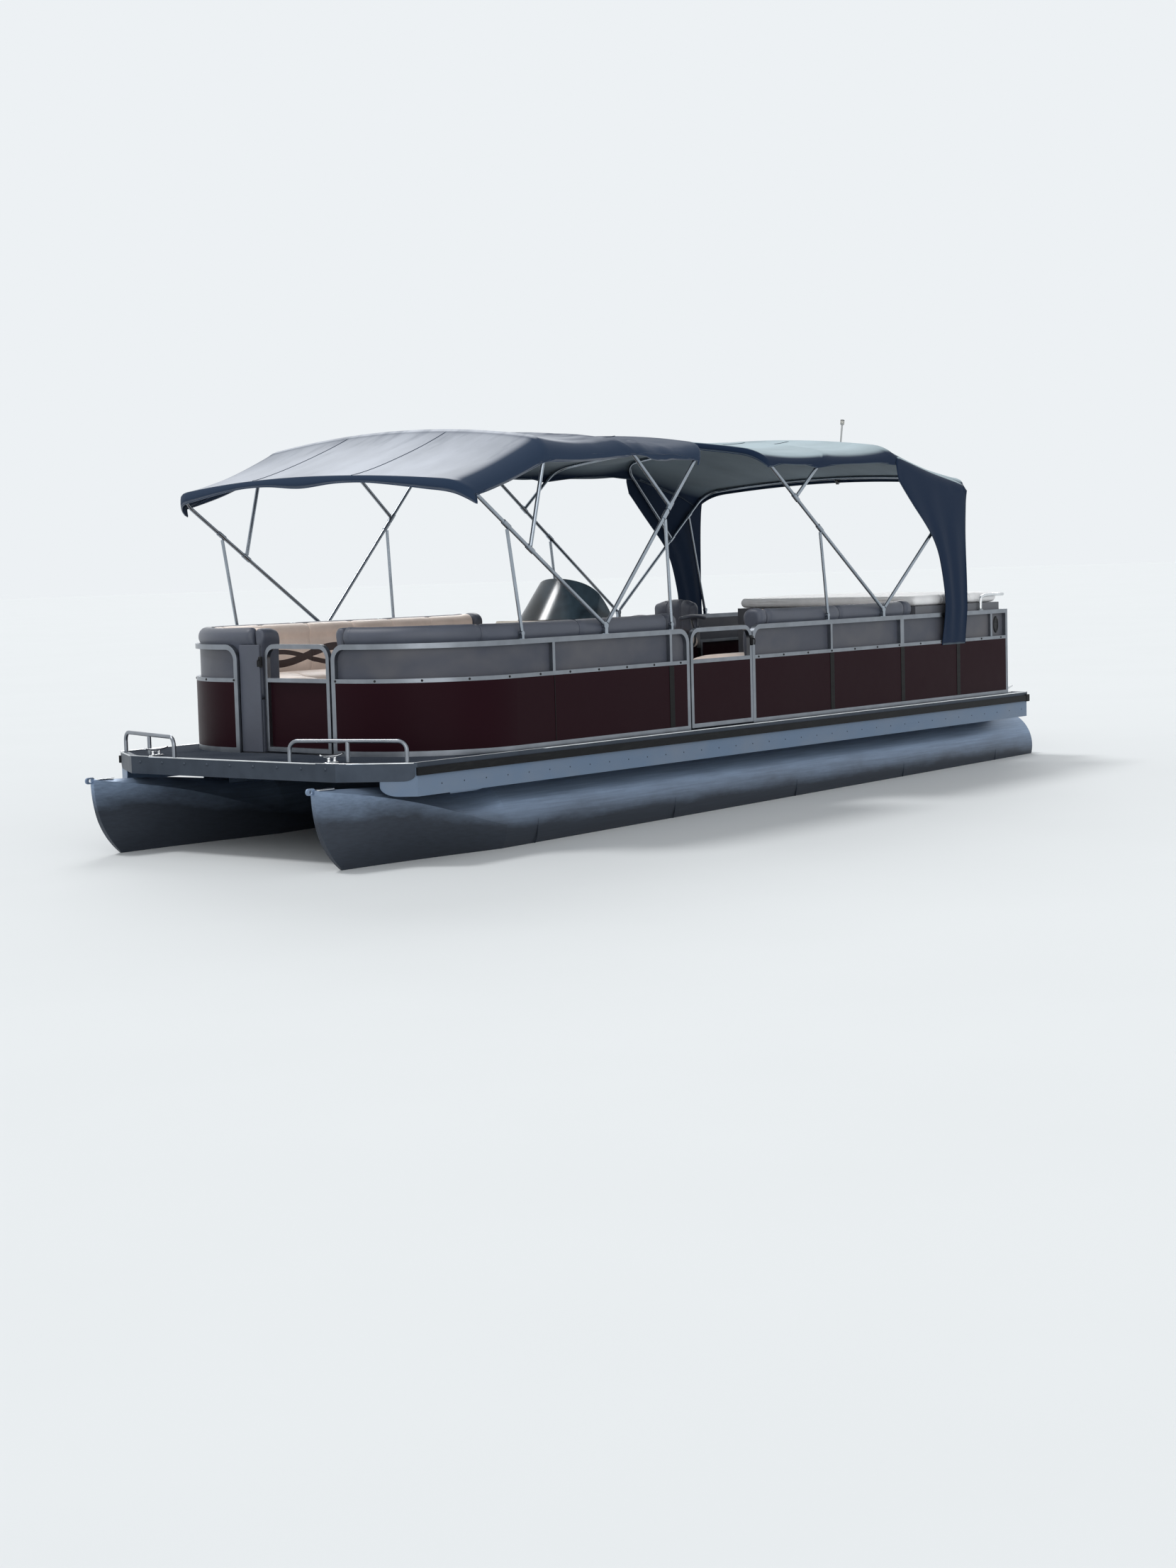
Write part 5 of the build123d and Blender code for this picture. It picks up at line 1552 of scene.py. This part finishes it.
class BOAT_OT_fence_fittings(bpy.types.Operator):
    """Fence fittings: snaps on the middle rail, painted shadow strips beside the posts, latches and
    stern cover
    """

    bl_idname = "boat.fence_fittings"
    bl_label = "Fence fittings"

    def execute(self, context):
        self.snaps(context.scene.boat_sizes.snap_pitch)
        self.gaskets()
        self.latches()
        self.stern_side()
        return {"FINISHED"}

    def snaps(self, pitch):
        """Snaps round the bow on both sides, and along the side of the port aft fence."""
        middle = (MID_RAIL[0] + MID_RAIL[1]) / 2
        aft, fore, inset = station(290), station(3806), 0.06
        spots = []
        for side, start in ((PORT, station(4556) + 0.10), (STARBOARD, aft)):
            for point, out in fence_run(side, start, 0.44, -RAIL / 2, pitch):
                spots.append((Vector((point.x, point.y, middle)), out))
        count = round((fore - aft) / pitch)
        for k in range(count):
            x = aft + inset + (fore - aft - 2 * inset) * k / (count - 1)
            spots.append((Vector((x, FENCE_OUT, middle)), Vector((0, 1, 0))))
        heads("fence_snaps", spots, SNAP, "black_plastic")

    def gaskets(self):
        """Painted shadow: a near-black strip beside each post where a sheet meets it; the foremost
        post takes a narrow one.
        """
        aft_posts = (2820, 1850, 1025)
        strips = []
        for side, posts in ((PORT, (4760, *aft_posts)), (STARBOARD, (4760, 3790, *aft_posts))):
            y_low, y_high = sorted((side * (FENCE_OUT - 0.0005), side * (FENCE_OUT + 0.0025)))
            for at, fore, wide in ((5980, 0.003, 0.006), *((at, 0.026, 0.052) for at in posts)):
                x = station(at) + fore
                low = (x - wide, y_low, DECK + 0.036)
                strips.append(block("strip", low, (x, y_high, MID_RAIL[0] - 0.004)))
        strips = show("panel_gaskets", joined("strips", strips), "hull", "post_rubber")
        sharpen(strips, 0.001)

    def latches(self):
        """A black box with a thumb lever at the free side of each gate."""
        bow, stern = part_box("bow_gate"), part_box("stern_gate")
        up = Vector((0, 0, 1))
        for body, x, y, right, out in (
            ("side_gate", station(3822) + 0.014, FENCE_OUT - 0.001, (-1, 0, 0), (0, 1, 0)),
            ("bow_gate", bow[1].x - 0.001, bow[0].y + 0.016, (0, -1, 0), (1, 0, 0)),
            ("stern_gate", stern[0].x + 0.001, stern[0].y + 0.016, (0, 1, 0), (-1, 0, 0)),
        ):
            at, right, out = Vector((x, y, LATCH_HEIGHT)), Vector(right), Vector(out)
            rings = [
                [
                    at + right * a * share + up * b * share + out * rise
                    for a, b in oblong(0.026, 0.070, 0.010)
                ]
                for rise, share in ((0.0, 1.0), (0.010, 1.0), (0.016, 0.86), (0.018, 0.6))
            ]
            sharpen(show(f"{body}_latch", skin("latch", rings), body, "black_plastic"), 0.0012)
            bends = ((0.017, 0.012), (0.030, 0.014), (0.033, -0.006), (0.030, -0.030))
            lever = [at + out * off + up * rise for off, rise in bends]
            cable(f"{body}_lever", lever, 0.0045, body, "black_plastic")

    def stern_side(self):
        """Short post near the stern, and aft of it an oval black cover, dished in its middle."""
        x, inside = station(490), FENCE_OUT - RAIL + 0.002
        low = (x - 0.013, inside, MID_RAIL[1] - 0.001)
        high = (x + 0.013, FENCE_OUT - 0.004, FENCE_TOP - RAIL + 0.001)
        post = show("stern_side_post", block("post", low, high), "hull", "rail_aluminium")
        sharpen(post, 0.003)
        at = Vector((station(385), inside, 1.286))
        profile = [(0.034, 0.0), (0.035, 0.004), (0.030, 0.009), (0.026, 0.010), (0.024, 0.007)]
        profile.append((0.002, 0.011))
        cover = turned(profile, (0, 0, 0), (0, 1, 0), 28)
        for vertex in cover.vertices:
            vertex.co = at + Vector((vertex.co.x * 1.1, vertex.co.y, vertex.co.z * 1.9))
        show("stern_side_cover", cover, "hull", "black_plastic")


class BOAT_OT_hull_fittings(bpy.types.Operator):
    """Hull fittings: rivets, bolts, caps, edge bead, cleats, light lens, nose plates and welds"""

    bl_idname = "boat.hull_fittings"
    bl_label = "Hull fittings"

    def execute(self, context):
        pitch = context.scene.boat_sizes.rivet_pitch
        rail_low, rail_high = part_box("rub_rail")
        skirt_low, skirt_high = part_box("side_skirts")
        deck_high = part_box("deck_trim")[1]
        inset = 0.1
        count = int((rail_high.x - rail_low.x - 2 * inset) / pitch) + 1
        spots = []
        for side in SIDES.values():
            y, z = side * skirt_high.y, skirt_low.z + 0.060
            for k in range(count):
                x = rail_low.x + inset + pitch * k
                spots.append((Vector((x, y, z)), Vector((0, side, 0))))
        heads("skirt_rivets", spots, RIVET, "trim_aluminium", 8)
        spots = [
            (Vector((deck_high.x, -0.80 + 0.2 * k, deck_high.z - 0.035)), Vector((1, 0, 0)))
            for k in range(9)
        ]
        heads("bow_trim_bolts", spots, BOLT, "trim_aluminium", 6)
        for key, side in SIDES.items():
            # black end caps of the rub rail at the stern
            y_low, y_high = sorted((side * (rail_high.y - 0.018), side * (rail_high.y + 0.003)))
            low = (rail_low.x - 0.004, y_low, rail_low.z - 0.004)
            cap = block("cap", low, (rail_low.x + 0.050, y_high, rail_high.z + 0.006))
            sharpen(show(f"{key}_rub_cap", cap, "hull", "rub_vinyl"), 0.005, 3)
        # bright bead along the top edge of the deck
        edge_z = deck_high.z - 0.002
        bow, corner = deck_high.x + 0.001, deck_high.y + 0.001
        edge = [(station(30), corner), (station(7318), corner), (bow, 0.874)]
        edge += [(x, -y) for x, y in reversed(edge)]
        edge = [(x, y, edge_z) for x, y in edge]
        cable("deck_edge_bead", edge, 0.0045, "hull", "bright_plate", order=2)
        self.cleats()
        self.light_lens()
        for key, side in SIDES.items():
            self.nose_and_welds(key, side)
        return {"FINISHED"}

    def nose_and_welds(self, key, side):
        """Bright lozenge plate round the towing eye, and weld beads round the tube."""
        low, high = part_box(f"{key}_pontoon")
        centre_y = side * (abs(low.y) + abs(high.y)) / 2
        lozenge = [(0.085, 0), (0.060, 0.026), (-0.060, 0.026)]
        lozenge += [(-a, -b) for a, b in lozenge]
        at = (4.610, centre_y, 0.601)
        name = f"{key}_nose_plate"
        plate(name, lozenge, at, (1, 0, 0), (0, 1, 0), 0.004, "bright_plate")
        radius = (high.y - low.y) / 2
        reach = radius + 0.0005
        for x in (station(6150), station(4720), station(3270), station(1820), station(420)):
            line = [
                (x, centre_y + reach * cos(a), radius + reach * sin(a)) for a in round_angles(24)
            ]
            name = f"{key}_weld_{round(x * 1000)}"
            cable(name, line, 0.0035, "hull", "weld_bead", cyclic=True)

    def light_lens(self):
        """Ribbed lens and black cap of the all-round light, on the leaning end of its staff."""
        low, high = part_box("stern_light")
        lean = Vector((-sin(radians(10)), 0, cos(radians(10))))
        tip = Vector((low.x + 0.0148, 0, high.z - 0.0026))
        lens = [(0.0150, 0.0), (0.0165, 0.002), (0.0165, 0.026), (0.0150, 0.028)]
        lens = turned(lens, tip - lean * 0.031, lean, 24)
        show("stern_light_lens", lens, "hull", "light_lens")
        cap = [(0.0150, 0.0), (0.0172, 0.001), (0.0168, 0.005), (0.0100, 0.008), (0.0010, 0.009)]
        cap = turned(cap, tip - lean * 0.002, lean, 24)
        show("stern_light_cap", cap, "hull", "black_plastic")

    def cleats(self):
        """Four cast cleats: a base, two legs and a pair of horns that rise to their tips."""
        castings = []
        sole = oblong(0.110, 0.040, 0.020)
        leg = [(0.014, 0.004), (0.009, 0.012), (0.008, 0.022), (0.011, 0.034)]
        for side in SIDES.values():
            for at, y in ((7480, 0.760), (140, 1.165)):
                foot = Vector((station(at), side * y, DECK))
                rings = [
                    [foot + Vector((a * share, b * share, rise)) for a, b in sole]
                    for share, rise in ((1, 0), (1, 0.004), (0.9, 0.008))
                ]
                castings.append(skin("sole", rings))
                for along in (-0.025, 0.025):
                    castings.append(turned(leg, foot + Vector((along, 0, 0)), (0, 0, 1), 14))
                horns = []
                for k in range(17):
                    t = -1 + k / 8
                    middle = foot + Vector((0.096 * t, 0, 0.038 + 0.012 * abs(t) ** 2.2))
                    thick = 0.0115 - 0.0062 * abs(t) ** 1.6
                    ring = [(0, thick * cos(b), thick * 0.85 * sin(b)) for b in round_angles(12)]
                    horns.append([middle + Vector(p) for p in ring])
                castings.append(skin("horns", horns))
        cleats = show("mooring_cleats", joined("cleats", castings), "hull", "bright_casting")
        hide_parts("mooring_fittings")


class BOAT_OT_outboard(bpy.types.Operator):
    """Outboard details: bolts of the transom clamp"""

    bl_idname = "boat.outboard"
    bl_label = "Outboard details"

    def execute(self, context):
        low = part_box("outboard_clamp")[0]
        cheek, top, lean = 0.093, 0.770, 0.208
        spots = []
        for side in SIDES.values():
            for z in (0.500, 0.580, 0.660):
                # 20 mm aft of the leaning transom
                x = low.x + 0.076 + (top - z) * lean
                spots.append((Vector((x, side * cheek, z)), Vector((0, side, 0))))
        heads("clamp_bolts", spots, BOLT, "brushed_steel", 6)
        return {"FINISHED"}


class BOAT_OT_stage(bpy.types.Operator):
    """Floor at the waterline, soft studio light, pale surroundings and the camera of the picture"""

    bl_idname = "boat.stage"
    bl_label = "Stage"

    def execute(self, context):
        self.floor()
        self.light(context.scene)
        self.camera(context.scene)
        return {"FINISHED"}

    def floor(self):
        reach, height = 90, 0.18
        level = Vector((0.0121, 0.0027, 0.9999)).normalized()
        turn = level.to_track_quat("Z", "Y").to_matrix()
        ring = [
            Vector((0, 0, height)) + turn @ Vector((reach * cos(a), reach * sin(a), 0))
            for a in round_angles(96)
        ]
        mesh = mesh_from("floor", ring, [tuple(range(len(ring)))])
        finish, tree, shader = start_finish("matt_floor_paint", Roughness=0.9)
        shade_by(tree, shader, grain(tree, scale=0.8), linear("#D8DBDC"), linear("#D9DCDD"))
        mesh.materials.append(finish)
        floor = bpy.data.objects.new("floor", mesh)
        bpy.context.scene.collection.objects.link(floor)

    def light(self, scene):
        world = bpy.data.worlds.new("surroundings")
        scene.world = world
        world.use_nodes = True
        tree = world.node_tree
        background = tree.nodes["Background"]
        background.inputs["Color"].default_value = (*linear("#F4F7FA"), 1.0)
        background.inputs["Strength"].default_value = 0.62
        # the surroundings as they are seen, reflected or looked at through glass
        seen = add_node(
            tree, "ShaderNodeBackground", {"Color": (*linear("#EDF1F4"), 1.0), "Strength": 1.0}
        )
        rays = add_node(tree, "ShaderNodeLightPath").outputs
        direct = reckon(tree, "MAXIMUM", rays["Is Camera Ray"], rays["Is Glossy Ray"])
        through = reckon(tree, "MAXIMUM", direct, rays["Is Transmission Ray"])
        both = add_node(
            tree,
            "ShaderNodeMixShader",
            {"Fac": through, 1: background.outputs[0], 2: seen.outputs[0]},
        )
        tree.links.new(both.outputs[0], tree.nodes["World Output"].inputs["Surface"])
        # sun-like lamps high over the bow and over the stern, and a broad soft one on the near side
        for name, energy, angle, direction in (
            ("high_lamp", 1.25, 12, (-0.30, 0.45, -1.0)),
            ("stern_lamp", 0.9, 25, (0.65, 0.50, -0.55)),
            ("near_lamp", 0.9, 50, (-0.75, -0.80, -0.28)),
        ):
            lamp = bpy.data.lights.new(name, "SUN")
            lamp.energy = energy
            lamp.angle = radians(angle)
            carrier = bpy.data.objects.new(name, lamp)
            carrier.rotation_euler = Vector(direction).to_track_quat("-Z", "Y").to_euler()
            scene.collection.objects.link(carrier)

    def camera(self, scene):
        lens = bpy.data.cameras.new("picture_camera")
        lens.lens = 57.34
        lens.sensor_width = 36.0
        lens.clip_end = 500
        camera = bpy.data.objects.new("picture_camera", lens)
        right = Vector((-0.620075, 0.784105, -0.026216))
        down = Vector((0.085341, 0.034195, -0.995765))
        forward = Vector((-0.779887, -0.619686, -0.088120))
        turn = Matrix((right, -down, -forward)).transposed().to_4x4()
        camera.matrix_world = Matrix.Translation((14.8347, 11.0088, 1.8568)) @ turn
        scene.collection.objects.link(camera)
        scene.camera = camera
        scene.view_settings.view_transform = "Standard"


class BOAT_OT_finishes(bpy.types.Operator):
    """Finishes: makes every material and gives the CAD nodes theirs"""

    bl_idname = "boat.finishes"
    bl_label = "Finishes"

    def execute(self, context):
        settings = context.scene.boat_colours
        tones = {key: tuple(getattr(settings, key)) for key in BOAT_PG_colours.__annotations__}
        finishes.update(
            {
                "tube_aluminium": mill_aluminium(tones["tube"]),
                # the trim's dark tone is painted shade, as on the shaded face of the deck edge
                "trim_aluminium": anodised_aluminium("anodised_trim", linear("#474E58"), 0.45),
                "rail_aluminium": anodised_aluminium("anodised_rail", tones["rails"], 0.30),
                "bow_aluminium": anodised_aluminium(
                    "polished_bow_tube", linear("#9FA7B0"), 0.24, (60.0, 60.0, 60.0)
                ),
                "cast_fittings": cast_aluminium("cast_aluminium", linear("#A4A9AE"), 0.30),
                "weld_bead": cast_aluminium("weld_bead", linear("#434A54"), 0.5),
                "bright_plate": anodised_aluminium("bright_plate", linear("#E3E6E8"), 0.22),
                "bright_casting": cast_aluminium("bright_cast_aluminium", linear("#E6E8EA"), 0.14),
                "brushed_steel": anodised_aluminium(
                    "brushed_stainless_steel", linear("#B9BABA"), 0.26
                ),
                "deck_carpet": marine_carpet(tones["carpet"]),
                "rub_vinyl": moulded_vinyl("extruded_pvc", tones["rub_rail"], 0.03),
                # painted shadow: near-black strips beside the fence posts
                "post_rubber": moulded_vinyl("black_rubber", linear("#060607"), 0.0),
                "black_plastic": moulded_vinyl("moulded_abs_black", linear("#1A1B1D")),
                "dash_laminate": moulded_vinyl("dash_laminate", linear("#3A2F2A")),
                "white_print": moulded_vinyl("screen_print_white", linear("#E6E6E0")),
                "skirt_paint": sheet_enamel("skirt_enamel", tones["skirt"], 0.25),
                "maroon_panel": sheet_enamel("maroon_enamel", tones["lower_panel"], 0.0, 0.05),
                "taupe_panel": sheet_enamel("taupe_enamel", tones["upper_panel"], 0.2),
                "front_canvas": woven_canvas(
                    "front_acrylic_canvas",
                    tones["front_canvas"],
                    tones["front_faded"],
                    (0.84, 0.965),
                    (station(4950), station(6150)),
                ),
                "rear_canvas": woven_canvas(
                    "rear_acrylic_canvas", tones["rear_canvas"], tones["rear_faded"], (0.64, 0.88)
                ),
                "couch_shell": gelcoat("moulded_polyethylene", linear("#585A60"), 0.45),
                "console_shell": gelcoat("console_gelcoat", tones["console"]),
                "couch_vinyl": upholstery_vinyl("outer_upholstery_vinyl", tones["outer_vinyl"]),
                "cream_vinyl": upholstery_vinyl("cream_upholstery_vinyl", tones["inner_vinyl"]),
                "white_vinyl": upholstery_vinyl("white_upholstery_vinyl", tones["white_vinyl"]),
                "striped_vinyl": striped_vinyl(tones["inner_vinyl"], tones["stripe"]),
                "tinted_screen": smoked_acrylic(),
                "light_staff": anodised_aluminium("light_staff", linear("#9A9C9C"), 0.35),
                "light_lens": clear_lens(),
                "motor_castings": gelcoat("motor_enamel", tones["motor"], 0.35),
                "cowl_gloss": gelcoat("cowl_enamel", darker(tones["motor"], 0.8), 0.15),
                "engine_metal": cast_aluminium("cast_engine_block", linear("#777A7C"), 0.5),
            }
        )
        for node in nodes.values():
            for slot in node.material_slots:
                key = slot.material.name.split(".")[0]
                if key in finishes:
                    slot.material = finishes[key]
        return {"FINISHED"}


pieces_in_order = (
    BOAT_OT_finishes,
    BOAT_OT_hull_fittings,
    BOAT_OT_fence_fittings,
    BOAT_OT_front_top,
    BOAT_OT_rear_top,
    BOAT_OT_couches,
    BOAT_OT_sundeck,
    BOAT_OT_helm,
    BOAT_OT_chair,
    BOAT_OT_outboard,
    BOAT_OT_stage,
)


class BOAT_PT_panel(bpy.types.Panel):
    """Sizes, colours and the pieces of the boat"""

    bl_idname = "BOAT_PT_panel"
    bl_label = "Pontoon boat"
    bl_space_type = "VIEW_3D"
    bl_region_type = "UI"
    bl_category = "Boat"

    def draw(self, context):
        for settings in (context.scene.boat_sizes, context.scene.boat_colours):
            box = self.layout.box()
            for key in settings.bl_rna.properties.keys():
                if key not in ("rna_type", "name"):
                    box.prop(settings, key)
        for piece in pieces_in_order:
            self.layout.operator(piece.bl_idname)


classes = (BOAT_PG_colours, BOAT_PG_sizes, *pieces_in_order, BOAT_PT_panel)


def register():
    for item in classes:
        bpy.utils.register_class(item)
    bpy.types.Scene.boat_colours = bpy.props.PointerProperty(type=BOAT_PG_colours)
    bpy.types.Scene.boat_sizes = bpy.props.PointerProperty(type=BOAT_PG_sizes)


def unregister():
    del bpy.types.Scene.boat_colours
    del bpy.types.Scene.boat_sizes
    for item in reversed(classes):
        bpy.utils.unregister_class(item)


def main():
    register()
    for piece in pieces_in_order:
        group, name = piece.bl_idname.split(".")
        getattr(getattr(bpy.ops, group), name)()


if __name__ == "__main__":
    main()
